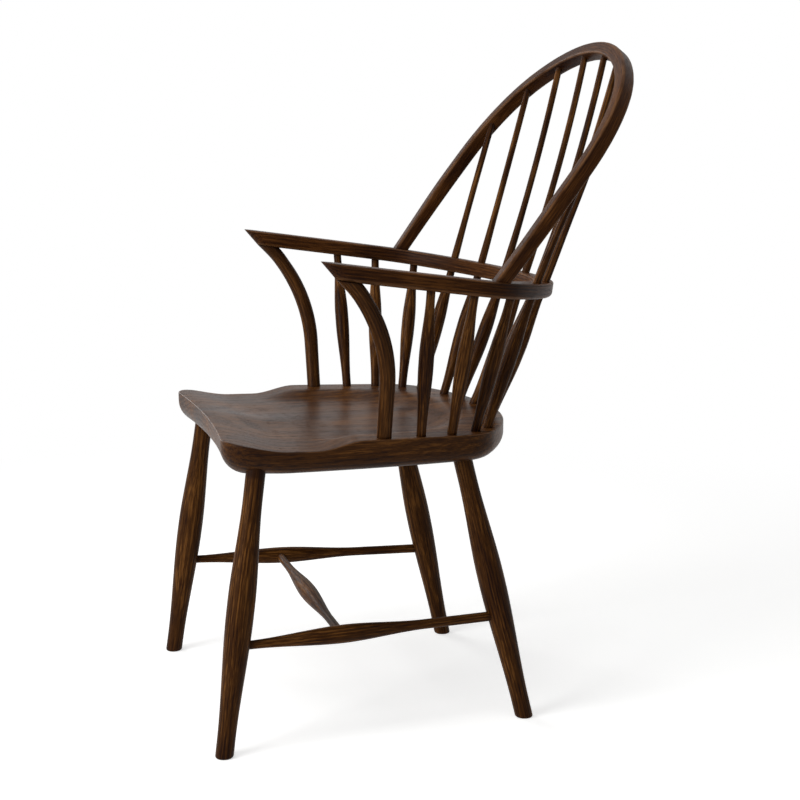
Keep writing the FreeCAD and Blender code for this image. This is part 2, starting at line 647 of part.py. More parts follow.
def hoop():
    """Bent hoop of a squarish bar, seated on the arm bow with a round tenon at each foot."""
    body = new_body("hoop_bar")
    spine = new_sketch(body, "hoop_spine", "XY_Plane")
    aliases = ("hoop_side_radius", "hoop_shoulder_radius", "hoop_crown_radius")
    for (centre, radius, foot_end, crown_end), alias in zip(reversed(hoop_line.arcs), reversed(aliases)):
        draw(spine, arc_of(centre, radius, foot_end, crown_end), bound(alias))
    foot = Vector(hoop_foot.x, 0, 0)
    down = hoop_line.foot_direction()
    draw(spine, Part.LineSegment(foot, foot + down * size("hoop_section_depth")))
    crown, _ = hoop_line.place(0)
    section = new_sketch(body, "hoop_section", "YZ_Plane")
    half_width = size("hoop_section_width") / 2
    half_depth = size("hoop_section_depth") / 2
    easing = size("hoop_section_easing")
    rounded_rectangle(section, crown.y, half_width, half_depth, easing)
    bar = body.newObject("PartDesign::AdditivePipe", "hoop_half")
    bar.Profile = section
    bar.Spine = spine
    document.recompute()
    twin = body.newObject("PartDesign::Mirrored", "hoop_halves")
    twin.Originals = [bar]
    twin.MirrorPlane = (origin_plane(body, "YZ_Plane"), [""])
    body.Tip = twin
    body.Placement = hoop_frame
    room = 4 * size("hoop_section_depth")
    reach = size("arm_half_width") + room
    local_foot = arm_frame.inverse().multVec(hoop_foot)
    corner = Vector(-reach, local_foot.y - room, size("shoulder_clearance") - room)
    below = block("hoop_foot_cutter", corner, Vector(2 * reach, 2 * room, room))
    below.Placement = arm_frame.multiply(below.Placement)
    cut = carved("hoop_trimmed", body, [below])
    direction = hoop_frame.Rotation.multVec(down)
    tenon = cylinder("hoop_tenon_left", hoop_foot - direction * half_depth, direction,
                     bound("hoop_tenon_radius"), f"{half_depth} + {bound('hoop_tenon_length')}")
    tenon_twin = mirrored("hoop_tenon_right", tenon)
    mirror_cutter(arm_cutters, socket("hoop_arm_socket", hoop_foot, direction, "hoop_tenon_radius",
                                      bound("hoop_tenon_length")))
    blank = fused("hoop_blank", [cut, tenon, tenon_twin])
    return carved("hoop_bored", blank, hoop_cutters)


def rounded_rectangle(sketch, middle, half_width, half_depth, easing):
    """Rectangle with rounded corners about (middle, 0): width along the sketch's X, depth along Y."""
    for turn in range(4):
        across = half_width if turn % 2 == 0 else half_depth
        upright = half_depth if turn % 2 == 0 else half_width
        rotation = Rotation(UP, 90 * turn)
        shift = Vector(middle, 0, 0)
        low = rotation.multVec(Vector(across, easing - upright, 0)) + shift
        high = rotation.multVec(Vector(across, upright - easing, 0)) + shift
        centre = rotation.multVec(Vector(across - easing, upright - easing, 0)) + shift
        draw(sketch, Part.LineSegment(low, high))
        circle = Part.Circle(centre, UP, easing)
        start = math.radians(90 * turn)
        draw(sketch, Part.ArcOfCircle(circle, start, start + math.pi / 2), bound("hoop_section_easing"))


add_piece("hoop", hoop())


def oval(name, point, rotation, width_expression, depth_expression):
    """Oval ring: its depth, the larger, lies along Y and its width along X before it is turned."""
    ring = document.addObject("Part::Ellipse", name)
    ring.setExpression("MajorRadius", depth_expression)
    ring.setExpression("MinorRadius", width_expression)
    ring.Placement = Placement(point, rotation.multiply(Rotation(UP, 90)))
    return ring


def arm_support():
    """Left arm support: round at the seat, bending forward and widening to an oval head."""
    name = "arm_support_left"
    foot = on_deck("support_foot_run", "support_foot_inset") + deck_up * size("shoulder_clearance")
    slant = math.radians(size("arm_tip_slant"))
    back = size("arm_thickness") * math.tan(slant) + size("support_head_half_depth")
    underside = on_arm(arm_outline.length() - back, depth=size("arm_thickness"))
    head = underside - arm_up * size("shoulder_clearance")
    rise = head.z - foot.z
    bend_rise = rise - size("support_upright_height")
    forward = foot.y - head.y
    bend_radius = (forward ** 2 + bend_rise ** 2) / (2 * forward)
    round_foot = bound("support_foot_radius")
    rings = [oval(f"{name}_foot_ring", foot, deck_frame.Rotation, round_foot, round_foot)]
    for step in range(1, SUPPORT_RINGS):
        share = step / SUPPORT_RINGS
        bent = max(0, share * rise - size("support_upright_height"))
        back_y = foot.y - (bend_radius - math.sqrt(bend_radius ** 2 - bent ** 2))
        point = Vector(foot.x + share * (head.x - foot.x), back_y, foot.z + share * rise)
        width = f"{round_foot} + {share ** 2} * ({bound('support_head_half_width')} - {round_foot})"
        depth = f"{round_foot} + {share ** 2} * ({bound('support_neck_half_depth')} - {round_foot})"
        slope = size("seat_slope") + share * (size("arm_slope") - size("seat_slope"))
        tilt = Rotation(Vector(1, 0, 0), -slope)
        rings.append(oval(f"{name}_ring_{step}", point, tilt, width, depth))
    rings.append(oval(f"{name}_head_ring", head, arm_frame.Rotation,
                      bound("support_head_half_width"), bound("support_head_half_depth")))
    shaft = document.addObject("Part::Loft", f"{name}_shaft")
    shaft.Sections = rings
    shaft.Solid = True
    down = deck_up * -1
    foot_tenon = cylinder(f"{name}_foot_tenon", foot, down, bound("support_foot_tenon_radius"),
                          bound("support_foot_tenon_length"))
    head_tenon = cylinder(f"{name}_head_tenon", head, arm_up, bound("support_head_tenon_radius"),
                          bound("support_head_tenon_length"))
    mirror_cutter(seat_cutters, socket(f"{name}_seat_socket", foot, down, "support_foot_tenon_radius",
                                       bound("support_foot_tenon_length")))
    mirror_cutter(arm_cutters, socket(f"{name}_arm_socket", head, arm_up, "support_head_tenon_radius",
                                      bound("support_head_tenon_length")))
    return fused(name, [foot_tenon, shaft, head_tenon])


add_pair("arm_support", arm_support())


def tip_cutter():
    """Cutter that rounds the left arm's end in plan and slants it back below its point."""
    tip, outward = arm_outline.place(arm_outline.length())
    ahead = Vector(outward.y, -outward.x, 0)
    half = size("arm_width") / 2
    taper = size("arm_tip_taper")
    middle = tip - ahead * taper
    side_room = outward * (half + TIP_CUTTER_ROOM)
    slant = math.radians(size("arm_tip_slant"))
    front_room = ahead * (taper + size("arm_thickness") * math.tan(slant) + TIP_CUTTER_ROOM)
    plan = document.addObject("Sketcher::SketchObject", "arm_tip_plan")
    plan.Placement = arm_frame
    oval_end = Part.Ellipse(tip, middle + outward * half, middle)
    plan.addGeometry(Part.ArcOfEllipse(oval_end, -math.pi / 2, math.pi / 2), False)
    corners = [middle + outward * half, middle + side_room, middle + side_room + front_room,
               middle - side_room + front_room, middle - side_room, middle - outward * half]
    for start, end in zip(corners, corners[1:]):
        plan.addGeometry(Part.LineSegment(start, end), False)
    cutter = document.addObject("Part::Extrusion", "arm_tip_cutter")
    cutter.Base = plan
    cutter.DirMode = "Custom"
    cutter.Dir = arm_frame.Rotation.multVec(Vector(0, math.sin(slant), -math.cos(slant)))
    cutter.LengthFwd = (size("arm_thickness") + TIP_CUTTER_ROOM) / math.cos(slant)
    cutter.LengthRev = TIP_CUTTER_ROOM / math.cos(slant)
    cutter.Solid = True
    return cutter


def arm_bow():
    """Arm bow: a flat bent slab with eased edges, pointed ends and every socket that it holds."""
    body = new_body("arm_bow_slab")
    plan = new_sketch(body, "arm_bow_plan", "XY_Plane")
    half = size("arm_width") / 2
    beyond_tip = TIP_CUTTER_ROOM / 2 / size("arm_side_radius")
    aliases = ("arm_rear_radius", "arm_corner_radius", "arm_side_radius")
    for sign in (1, -1):
        for mirror in (False, True):
            for (centre, radius, start, end), alias in zip(arm_outline.arcs, aliases):
                if alias == "arm_side_radius":
                    end -= beyond_tip
                draw(plan, arc_of(centre, radius + sign * half, start, end, mirror),
                     f"{bound(alias)} + {sign} * {bound('arm_width')} / 2")
    outer, _ = arm_outline.place(arm_outline.length() + TIP_CUTTER_ROOM / 2, half)
    inner, _ = arm_outline.place(arm_outline.length() + TIP_CUTTER_ROOM / 2, -half)
    for mirror in (1, -1):
        start = Vector(mirror * outer.x, outer.y, 0)
        draw(plan, Part.LineSegment(start, Vector(mirror * inner.x, inner.y, 0)))
    slab = body.newObject("PartDesign::Pad", "arm_bow_pad")
    slab.Profile = plan
    slab.Reversed = True
    slab.setExpression("Length", bound("arm_thickness"))
    document.recompute()
    eased = slab
    for height, alias in ((0, "arm_edge_easing"), (-size("arm_thickness"), "arm_under_easing")):
        edges = level_round_edges(eased.Shape, height)
        rounding = body.newObject("PartDesign::Fillet", f"arm_bow_{alias}")
        rounding.Base = (eased, edges)
        rounding.setExpression("Radius", bound(alias))
        document.recompute()
        eased = rounding
    body.Placement = arm_frame
    mirror_cutter(arm_cutters, tip_cutter())
    return carved("arm_bow_finished", body, arm_cutters)


def level_round_edges(shape, height):
    """Names of the round edges that lie level in a shape, at one height."""
    names = []
    for index, edge in enumerate(shape.Edges, start=1):
        box = edge.BoundBox
        level = box.ZLength < LEVEL_TOLERANCE and hasattr(edge.Curve, "Radius")
        if level and abs(box.ZMin - height) < LEVEL_TOLERANCE:
            names.append(f"Edge{index}")
    return names


add_piece("arm_bow", arm_bow())


def saddle_height(x, y):
    """Height of the saddle's surface against the deck: above it outside the saddle, below it inside."""
    rear_length = size("saddle_rear_y") - size("saddle_middle_y")
    behind = max(0, y - size("saddle_middle_y")) / rear_length
    corner = (abs(x) / size("saddle_half_width")) ** SADDLE_SQUARENESS + behind ** SADDLE_SQUARENESS
    inside = (1 - corner ** (1 / SADDLE_SQUARENESS)) * size("saddle_half_width")
    rolled_in = smooth_step(inside / size("saddle_roll_in"))
    run_out = smooth_step((size("saddle_run_out_y") - y) / size("saddle_run_out_length"))
    cover = rolled_in + (1 - rolled_in) * run_out
    front_y = size("seat_front_y") - x * x / (2 * size("seat_front_radius"))
    rise = smooth_step((y - front_y) / size("saddle_front_rise"))
    faded = 1 - smooth_step((y - front_y) / size("pommel_length"))
    ridge = math.exp(-(x / size("pommel_half_width")) ** 2) * faded
    depth = (size("saddle_depth") - size("pommel_height") * ridge) * cover * rise
    return SADDLE_MARGIN - depth * (1 + SADDLE_MARGIN / size("saddle_depth"))


def saddle_cutter():
    """Solid that fills the space above the saddle's surface."""
    reach_x = size("seat_half_width") + SADDLE_GRID
    front = size("seat_front_y") - 2 * SADDLE_GRID
    rear = size("seat_rear_y") + SADDLE_GRID
    columns = 2 * math.ceil(reach_x / SADDLE_GRID) + 1
    rows = math.ceil((rear - front) / SADDLE_GRID) + 1
    grid = []
    for column in range(columns):
        x = reach_x * (2 * column / (columns - 1) - 1)
        line = []
        for row in range(rows):
            y = front + (rear - front) * row / (rows - 1)
            line.append(Vector(x, y, saddle_height(x, y)))
        grid.append(line)
    surface = Part.BSplineSurface()
    surface.interpolate(grid)
    sheet_face = document.addObject("Part::Feature", "saddle_surface")
    sheet_face.Shape = surface.toShape()
    sheet_face.Placement = deck_frame
    cutter = document.addObject("Part::Extrusion", "saddle_cutter")
    cutter.Base = sheet_face
    cutter.DirMode = "Custom"
    cutter.Dir = deck_up
    cutter.setExpression("LengthFwd", f"2 * {bound('saddle_depth')}")
    cutter.Solid = True
    return cutter


def seat():
    """Seat plank with a rounded under-edge, its saddle and the sockets of legs and spindles."""
    body = new_body("seat_plank")
    plan = new_sketch(body, "seat_plan", "XY_Plane")
    front_radius = size("seat_front_radius")
    corner_radius = size("seat_front_corner")
    front_centre = (0, size("seat_front_y") - front_radius)
    side_centre, side_radius, side_start, _ = seat_outline.arcs[2]
    corner = PlanOutline.touching(side_centre, side_radius - corner_radius,
                                  front_centre, front_radius + corner_radius)
    side_end = PlanOutline.bearing(side_centre, corner)
    front_end = PlanOutline.bearing(front_centre, corner)
    seat_outline.arcs[2] = (side_centre, side_radius, side_start, side_end)
    outline = list(zip(seat_outline.arcs, ("seat_rear_radius", "seat_rear_corner", "seat_side_radius")))
    outline.append(((corner, corner_radius, side_end, front_end - math.pi), "seat_front_corner"))
    for mirror in (False, True):
        for (centre, radius, start, end), alias in outline:
            draw(plan, arc_of(centre, radius, start, end, mirror), bound(alias))
    draw(plan, arc_of(front_centre, front_radius, front_end, math.pi - front_end),
         bound("seat_front_radius"))
    plank = body.newObject("PartDesign::Pad", "seat_pad")
    plank.Profile = plan
    plank.setExpression("Length", f"{bound('seat_thickness')} + {DECK_ALLOWANCE}")
    document.recompute()
    rounded = body.newObject("PartDesign::Fillet", "seat_under_edge")
    rounded.Base = (plank, level_round_edges(plank.Shape, 0))
    rounded.setExpression("Radius", bound("seat_under_edge"))
    body.Placement = under_frame
    reach = size("seat_rear_y") + size("seat_half_width")
    above = block("deck_cutter", Vector(-reach, -reach, 0), Vector(2 * reach, 2 * reach, 2 * DECK_ALLOWANCE))
    above.Placement = deck_frame.multiply(above.Placement)
    for row, (foot, top) in leg_lines.items():
        hole = socket(f"leg_{row}_seat_socket", top, top - foot, "leg_top_radius", bound("leg_tenon_length"))
        mirror_cutter(seat_cutters, hole)
    return carved("seat_finished", body, [above, saddle_cutter()] + seat_cutters)


add_piece("seat", seat())
document.recompute()

for item in document.Objects:
    if "Invalid" in item.State or "Error" in item.State:
        raise RuntimeError(f"{item.Name} did not recompute: {item.State}")
for node, piece in pieces.items():
    shape = piece.Shape
    if shape.isNull() or not shape.isValid() or len(shape.Solids) != 1:
        raise RuntimeError(f"{node} is not one valid solid")

# The origin lies on the floor, below the middle of the chair. The halves mirror each other and
# the feet stand at Z = 0, so only the depth needs centring.
whole = FreeCAD.BoundBox()
for piece in pieces.values():
    whole.add(piece.Shape.optimalBoundingBox(False, False))
to_origin = Placement(Vector(0, -whole.Center.y, 0), Rotation())
os.makedirs("parts", exist_ok=True)
for node, piece in pieces.items():
    piece.Placement = to_origin.multiply(piece.Placement)
    piece.Shape.exportStep(os.path.join("parts", f"{node}.step"))
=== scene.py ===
"""Dresses a captain's chair of dark-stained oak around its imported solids.

Lengths are in metres, +X is the sitter's left, -Y the front and +Z up. As on the maker's drawing,
every Y in the classes below is measured from the middle of the feet's depth, and each finished
piece is moved back by the same amount onto the frame of the solids.
"""

import logging
import math
from collections.abc import Callable, Iterable
from dataclasses import dataclass, field
from enum import Enum

import bpy
from mathutils import Matrix, Vector


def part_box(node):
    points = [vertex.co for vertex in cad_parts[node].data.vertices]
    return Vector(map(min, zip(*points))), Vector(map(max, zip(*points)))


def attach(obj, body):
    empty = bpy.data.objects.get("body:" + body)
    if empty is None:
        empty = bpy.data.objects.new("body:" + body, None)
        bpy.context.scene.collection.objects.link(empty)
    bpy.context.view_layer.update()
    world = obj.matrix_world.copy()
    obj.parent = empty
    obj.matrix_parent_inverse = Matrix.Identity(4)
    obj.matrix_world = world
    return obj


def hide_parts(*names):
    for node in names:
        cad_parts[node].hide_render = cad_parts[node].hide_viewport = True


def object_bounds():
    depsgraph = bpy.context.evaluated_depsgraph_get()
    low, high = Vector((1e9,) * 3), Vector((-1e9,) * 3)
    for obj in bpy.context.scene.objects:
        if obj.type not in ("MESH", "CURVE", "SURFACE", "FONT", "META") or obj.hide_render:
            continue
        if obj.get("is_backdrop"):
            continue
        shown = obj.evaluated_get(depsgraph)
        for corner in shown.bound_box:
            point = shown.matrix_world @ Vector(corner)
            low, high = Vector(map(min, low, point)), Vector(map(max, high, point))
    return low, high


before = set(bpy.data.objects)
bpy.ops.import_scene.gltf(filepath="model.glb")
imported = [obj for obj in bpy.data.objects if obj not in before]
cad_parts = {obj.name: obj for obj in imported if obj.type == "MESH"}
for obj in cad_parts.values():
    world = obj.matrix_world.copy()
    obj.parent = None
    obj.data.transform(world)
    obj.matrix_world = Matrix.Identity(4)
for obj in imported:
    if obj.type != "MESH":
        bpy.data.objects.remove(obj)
CAD_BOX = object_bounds()

log = logging.getLogger("captains_chair")

Colour = tuple[float, float, float]

# Front-most point of the front feet, measured from the middle of the feet's depth.
FRONT_FEET_Y = -0.25699
TO_FRAME = Vector((0.0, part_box("leg_front_left")[0].y - FRONT_FEET_Y, 0.0))
UP = Vector((0.0, 0.0, 1.0))
ACROSS = Vector((1.0, 0.0, 0.0))
REARWARD = Vector((0.0, 1.0, 0.0))
ORIGIN = Vector((0.0, 0.0, 0.0))
SMOOTH_ANGLE = math.radians(40)
MERGE_DISTANCE = 2e-5
WHITE = (1.0, 1.0, 1.0)
# Distance between the rings of a blank, before it is shaped.
RING_STEP = 1.0
# Steps and roundness of the bevel round a sawn end.
BEVEL_STEPS = 3
BEVEL_PROFILE = 0.5
# From this Y part on, a bar counts as running along the chair, and its section is laid out from UP.
NEARLY_ALONG = 0.8
# How far apart in the timber two pieces lie that are made one after the other.
TIMBER_STEPS = (0.37, 0.53, 0.71)
# Spacing of the wave texture's rings at a scale of 1.
WAVE_SPACING = math.pi / 10
# Sockets of the mix node for colours.
MIX_SHARE, MIX_FIRST, MIX_SECOND, MIX_RESULT = 0, 6, 7, 2


class Slot(Enum):
    """Material slots of the chair's record."""

    SEAT = "seat_wood"
    BENT = "bent_wood"
    SUPPORT = "support_wood"
    TURNED = "turned_wood"


def smooth_step(share: float) -> float:
    """Rise from 0 to 1 with level ends."""
    share = min(max(share, 0.0), 1.0)
    return share * share * (3 - 2 * share)


def blend(start: float, end: float, share: float) -> float:
    """Value at a share of the way from one number to another."""
    return start + (end - start) * share


def spaced(start: float, end: float, steps: int) -> list[float]:
    """Evenly spaced numbers, with both ends."""
    return [blend(start, end, step / steps) for step in range(steps + 1)]


def falling(slope: float) -> Matrix:
    """Turn about X that lets a level plane fall towards the rear by a slope in degrees."""
    return Matrix.Rotation(-math.radians(slope), 3, "X")


def clockwise(way: Vector) -> Vector:
    """Direction a quarter turn clockwise, seen from above."""
    return Vector((way.y, -way.x, 0.0))


@dataclass(frozen=True)
class SlopedPlane:
    """Plane that falls towards the rear, such as the deck of the seat or the top of the arms."""

    height: float
    slope: float

    def lift(self, point: Vector) -> Vector:
        """Point of the room for a point of the plane's own frame."""
        return falling(self.slope) @ point + UP * self.height

    def up(self) -> Vector:
        """Direction square to the plane."""
        return falling(self.slope) @ UP

    def height_at(self, y: float) -> float:
        """Height of the plane above the floor."""
        return self.height - y * math.tan(math.radians(self.slope))


@dataclass(frozen=True)
class Arc:
    """Stretch of an outline: turn is 1 where it bulges outwards and -1 where it is hollow."""

    centre: Vector
    radius: float
    start: float
    end: float
    turn: int = 1

    def length(self) -> float:
        """Length of the arc."""
        return self.radius * abs(self.start - self.end)

    def at(self, run: float) -> tuple[Vector, Vector]:
        """Point and outward direction at a distance along the arc."""
        angle = self.start - self.turn * run / self.radius
        ray = Vector((math.cos(angle), math.sin(angle), 0.0))
        return self.centre + ray * self.radius, ray * self.turn


def bearing(start: Vector, end: Vector) -> float:
    """Direction from one point to another, anticlockwise from +X."""
    return math.atan2(end.y - start.y, end.x - start.x)


def touching(first: Vector, first_distance: float, second: Vector, second_distance: float) -> Vector:
    """Point at the given distances from two centres.

    Args:
        first: first centre.
        first_distance: distance from the first centre.
        second: second centre.
        second_distance: distance from the second centre.

    Returns:
        Of the two such points, the one further back.
    """
    gap = (second - first).length
    ahead = (first_distance ** 2 - second_distance ** 2 + gap ** 2) / (2 * gap)
    aside = math.sqrt(first_distance ** 2 - ahead ** 2)
    way = (second - first) / gap
    corners = [first + way * ahead + clockwise(way) * aside * turn for turn in (1, -1)]
    return max(corners, key=lambda point: point.y)


def along(arcs: list[Arc], run: float) -> tuple[Vector, Vector]:
    """Point and outward direction at a distance along joined arcs; the last one leads on."""
    for arc in arcs[:-1]:
        if run <= arc.length():
            return arc.at(run)
        run -= arc.length()
    return arcs[-1].at(run)


def on_side(run: float, *vectors: Vector) -> tuple[Vector, ...]:
    """The vectors as they are, or mirrored to the right side for a negative run."""
    mirror = -1 if run < 0 else 1
    return tuple(Vector((mirror * vector.x, vector.y, 0.0)) for vector in vectors)


class PlanOutline:
    """Half of a symmetric outline: rear, corner and side arcs, each tangent to the next."""

    def __init__(self, rear_y: float, rear_radius: float, corner_radius: float, side_x: float,
                 side_y: float, side_radius: float) -> None:
        """Lay out the arcs from the rear middle towards the front.

        Args:
            rear_y: rear of the outline on the centre line.
            rear_radius: radius of the rear arc.
            corner_radius: radius of the rear corner.
            side_x: half width at the widest place.
            side_y: where the outline is widest.
            side_radius: radius of the side arc.
        """
        rear = Vector((0.0, rear_y - rear_radius, 0.0))
        side = Vector((side_x - side_radius, side_y, 0.0))
        corner = touching(rear, rear_radius - corner_radius, side, side_radius - corner_radius)
        rear_end = bearing(rear, corner)
        corner_end = bearing(side, corner)
        self.arcs = [Arc(rear, rear_radius, math.pi / 2, rear_end),
                     Arc(corner, corner_radius, rear_end, corner_end),
                     Arc(side, side_radius, corner_end, corner_end)]

    def end_side_at(self, y: float) -> None:
        """Let the side arc end at the given Y."""
        side = self.arcs[2]
        end = math.asin((y - side.centre.y) / side.radius)
        self.arcs[2] = Arc(side.centre, side.radius, side.start, end)

    def close_front(self, front_y: float, front_radius: float, corner_radius: float) -> None:
        """Close the outline with a front corner and a hollow front edge."""
        side = self.arcs[2]
        front = Vector((0.0, front_y - front_radius, 0.0))
        corner = touching(side.centre, side.radius - corner_radius, front, front_radius + corner_radius)
        side_end = bearing(side.centre, corner)
        front_end = bearing(front, corner)
        self.arcs[2] = Arc(side.centre, side.radius, side.start, side_end)
        self.arcs.append(Arc(corner, corner_radius, side_end, front_end - math.pi))
        self.arcs.append(Arc(front, front_radius, front_end, math.pi / 2, -1))

    def length(self) -> float:
        """Length of the half outline."""
        return sum(arc.length() for arc in self.arcs)

    def place(self, run: float, outward: float = 0.0) -> tuple[Vector, Vector]:
        """Point at a distance along the outline from its rear middle, and its outward direction."""
        point, normal = along(self.arcs, abs(run))
        return on_side(run, point + normal * outward, normal)


@dataclass(frozen=True)
class SectionPoint:
    """Point of a bar's section: across and deep square to the bar, along it, and its edge wear."""

    across: float
    deep: float
    along: float = 0.0
    wear: float = 0.0


@dataclass(frozen=True)
class Station:
    """One ring of a bar: where it stands, its two axes, its way ahead, its run and its section."""

    centre: Vector
    across: Vector
    deep: Vector
    ahead: Vector
    run: float
    section: tuple[SectionPoint, ...]
    # Share of darkening where the piece enters a neighbour: a dark joint line with painted shade beside it.
    joint: float = 0.0


@dataclass(frozen=True)
class Spot:
    """Final place of a vertex, where it lies in the wood, how worn it is, and how dark it is beside a joint:
    a dark joint line with painted shade.
    """

    place: Vector
    grain: Vector
    wear: float = 0.0
    joint: float = 0.0


def oval_section(half_width: float, half_depth: float, sides: int) -> tuple[SectionPoint, ...]:
    """Oval section, or a round one where both halves are the same."""
    angles = [2 * math.pi * step / sides for step in range(sides)]
    return tuple(SectionPoint(half_width * math.cos(angle), half_depth * math.sin(angle))
                 for angle in angles)


def eased_section(low: tuple[float, float], high: tuple[float, float], easings: tuple[float, ...],
                  corner_steps: int) -> tuple[SectionPoint, ...]:
    """Rectangle with rounded corners.

    Args:
        low: lowest across and deep.
        high: highest across and deep.
        easings: radii of the corners (high, high), (low, high), (low, low) and (high, low).
        corner_steps: steps in each corner's arc.

    Returns:
        The section's points, anticlockwise, worn in the middle of each corner.
    """
    points = []
    corners = (high, (low[0], high[1]), low, (high[0], low[1]))
    room = min(high[0] - low[0], high[1] - low[1]) / 2
    for index, (corner, easing) in enumerate(zip(corners, easings)):
        radius = min(easing, room)
        inward = (-1 if corner[0] == high[0] else 1, -1 if corner[1] == high[1] else 1)
        centre = (corner[0] + inward[0] * radius, corner[1] + inward[1] * radius)
        for step in range(corner_steps + 1):
            share = step / corner_steps
            angle = math.radians(90) * (index + share)
            points.append(SectionPoint(centre[0] + radius * math.cos(angle),
                                       centre[1] + radius * math.sin(angle),
                                       wear=math.sin(math.pi * share)))
    return tuple(points)


def leave_edit_mode() -> None:
    """Go back to object mode with nothing selected."""
    if bpy.context.object and bpy.context.object.mode != "OBJECT":
        bpy.ops.object.mode_set(mode="OBJECT")
    bpy.ops.object.select_all(action="DESELECT")


def take_up(piece: bpy.types.Object) -> None:
    """Select one piece alone and make it the active one."""
    leave_edit_mode()
    piece.select_set(True)
    bpy.context.view_layer.objects.active = piece


def ringed_blank(name: str, sides: int, rings: int) -> bpy.types.Object:
    """Round blank of unit radius, one metre from ring to ring.

    Args:
        name: the piece's name.
        sides: vertices of a ring.
        rings: number of rings, with both ends.

    Returns:
        A cylinder that is cut into rings and closed at both ends.
    """
    leave_edit_mode()
    depth = (rings - 1) * RING_STEP
    bpy.ops.mesh.primitive_cylinder_add(vertices=sides, radius=1, depth=depth, end_fill_type="NGON",
                                        location=(0, 0, depth / 2))
    blank = bpy.context.object
    blank.name = blank.data.name = name
    bpy.ops.object.transform_apply(location=True, rotation=True, scale=True)
    mesh = blank.data
    bpy.ops.object.mode_set(mode="EDIT")
    bpy.ops.mesh.select_mode(type="EDGE")
    bpy.ops.mesh.select_all(action="DESELECT")
    bpy.ops.object.mode_set(mode="OBJECT")
    for edge in mesh.edges:
        low, high = (mesh.vertices[index].co.z for index in edge.vertices)
        edge.select = abs(high - low) > RING_STEP / 2
    bpy.ops.object.mode_set(mode="EDIT")
    bpy.ops.mesh.subdivide(number_cuts=rings - 2)
    bpy.ops.object.mode_set(mode="OBJECT")
    return blank


def write_attribute(mesh: bpy.types.Mesh, name: str, values: list) -> None:
    """Keep one number or vector per vertex under a name that the materials read."""
    vectors = isinstance(values[0], Vector)
    kind = "FLOAT_VECTOR" if vectors else "FLOAT"
    attribute = mesh.attributes.get(name) or mesh.attributes.new(name, kind, "POINT")
    if vectors:
        attribute.data.foreach_set("vector", [number for value in values for number in value])
    else:
        attribute.data.foreach_set("value", values)


def carry(piece: bpy.types.Object, sides: int, spot_of: Callable[[int, int], Spot]) -> None:
    """Carry every vertex of a blank to its place, and note where it lies in the wood.

    Args:
        piece: a blank.
        sides: vertices of one of its rings.
        spot_of: gives the spot for a place around and a ring.
    """
    spots = []
    for vertex in piece.data.vertices:
        turn = math.atan2(vertex.co.y, vertex.co.x) / (2 * math.pi)
        spots.append(spot_of(round(turn * sides) % sides, round(vertex.co.z / RING_STEP)))
    for vertex, spot in zip(piece.data.vertices, spots):
        vertex.co = spot.place + TO_FRAME
    write_attribute(piece.data, "grain_place", [spot.grain for spot in spots])
    write_attribute(piece.data, "edge_wear", [spot.wear for spot in spots])
    # The last attribute holds how far the colour is darkened beside joints: a dark joint line with painted
    # shade.
    write_attribute(piece.data, "joint_line_and_shade", [spot.joint for spot in spots])


def cut_off(piece: bpy.types.Object, point: Vector, direction: Vector) -> None:
    """Saw a piece along a plane and drop what lies on the side that the direction points to."""
    take_up(piece)
    bpy.ops.object.mode_set(mode="EDIT")
    bpy.ops.mesh.select_all(action="SELECT")
    bpy.ops.mesh.bisect(plane_co=point + TO_FRAME, plane_no=direction, use_fill=True, clear_outer=True)
    bpy.ops.object.mode_set(mode="OBJECT")


def ease_end(piece: bpy.types.Object, point: Vector, direction: Vector, width: float) -> None:
    """Bevel the edge round a sawn end.

    Args:
        piece: the piece.
        point: a point of the sawn plane.
        direction: direction square to it.
        width: width of the bevel.
    """
    take_up(piece)
    origin = point + TO_FRAME
    mesh = piece.data
    bpy.ops.object.mode_set(mode="EDIT")
    bpy.ops.mesh.select_mode(type="FACE")
    bpy.ops.mesh.select_all(action="DESELECT")
    bpy.ops.object.mode_set(mode="OBJECT")
    for face in mesh.polygons:
        face.select = all(abs((mesh.vertices[index].co - origin).dot(direction)) < MERGE_DISTANCE
                          for index in face.vertices)
    bpy.ops.object.mode_set(mode="EDIT")
    bpy.ops.mesh.region_to_loop()
    bpy.ops.mesh.bevel(offset=width, segments=BEVEL_STEPS, profile=BEVEL_PROFILE, affect="EDGES",
                       clamp_overlap=True)
    bpy.ops.object.mode_set(mode="OBJECT")


def clean_up(piece: bpy.types.Object) -> None:
    """Merge doubles, point the faces outwards and smooth all but the sharp edges."""
    take_up(piece)
    bpy.ops.object.mode_set(mode="EDIT")
    bpy.ops.mesh.select_mode(type="VERT")
    bpy.ops.mesh.select_all(action="SELECT")
    bpy.ops.mesh.remove_doubles(threshold=MERGE_DISTANCE)
    bpy.ops.mesh.dissolve_degenerate(threshold=MERGE_DISTANCE)
    bpy.ops.mesh.normals_make_consistent(inside=False)
    bpy.ops.object.mode_set(mode="OBJECT")
    bpy.ops.object.shade_smooth_by_angle(angle=SMOOTH_ANGLE)
    leave_edit_mode()


def bar(name: str, stations: list[Station]) -> bpy.types.Object:
    """Bar of any section along a line.

    Args:
        name: the piece's name.
        stations: its rings, each with as many section points.

    Returns:
        The closed bar.
    """
    sides = len(stations[0].section)

    def spot_of(index: int, ring: int) -> Spot:
        """Spot of one section point at one station."""
        station = stations[ring]
        point = station.section[index]
        place = station.centre + station.across * point.across + station.deep * point.deep \
            + station.ahead * point.along
        grain = Vector((point.across, point.deep, station.run + point.along))
        return Spot(place, grain, point.wear, station.joint)

    piece = ringed_blank(name, sides, len(stations))
    carry(piece, sides, spot_of)
    return piece


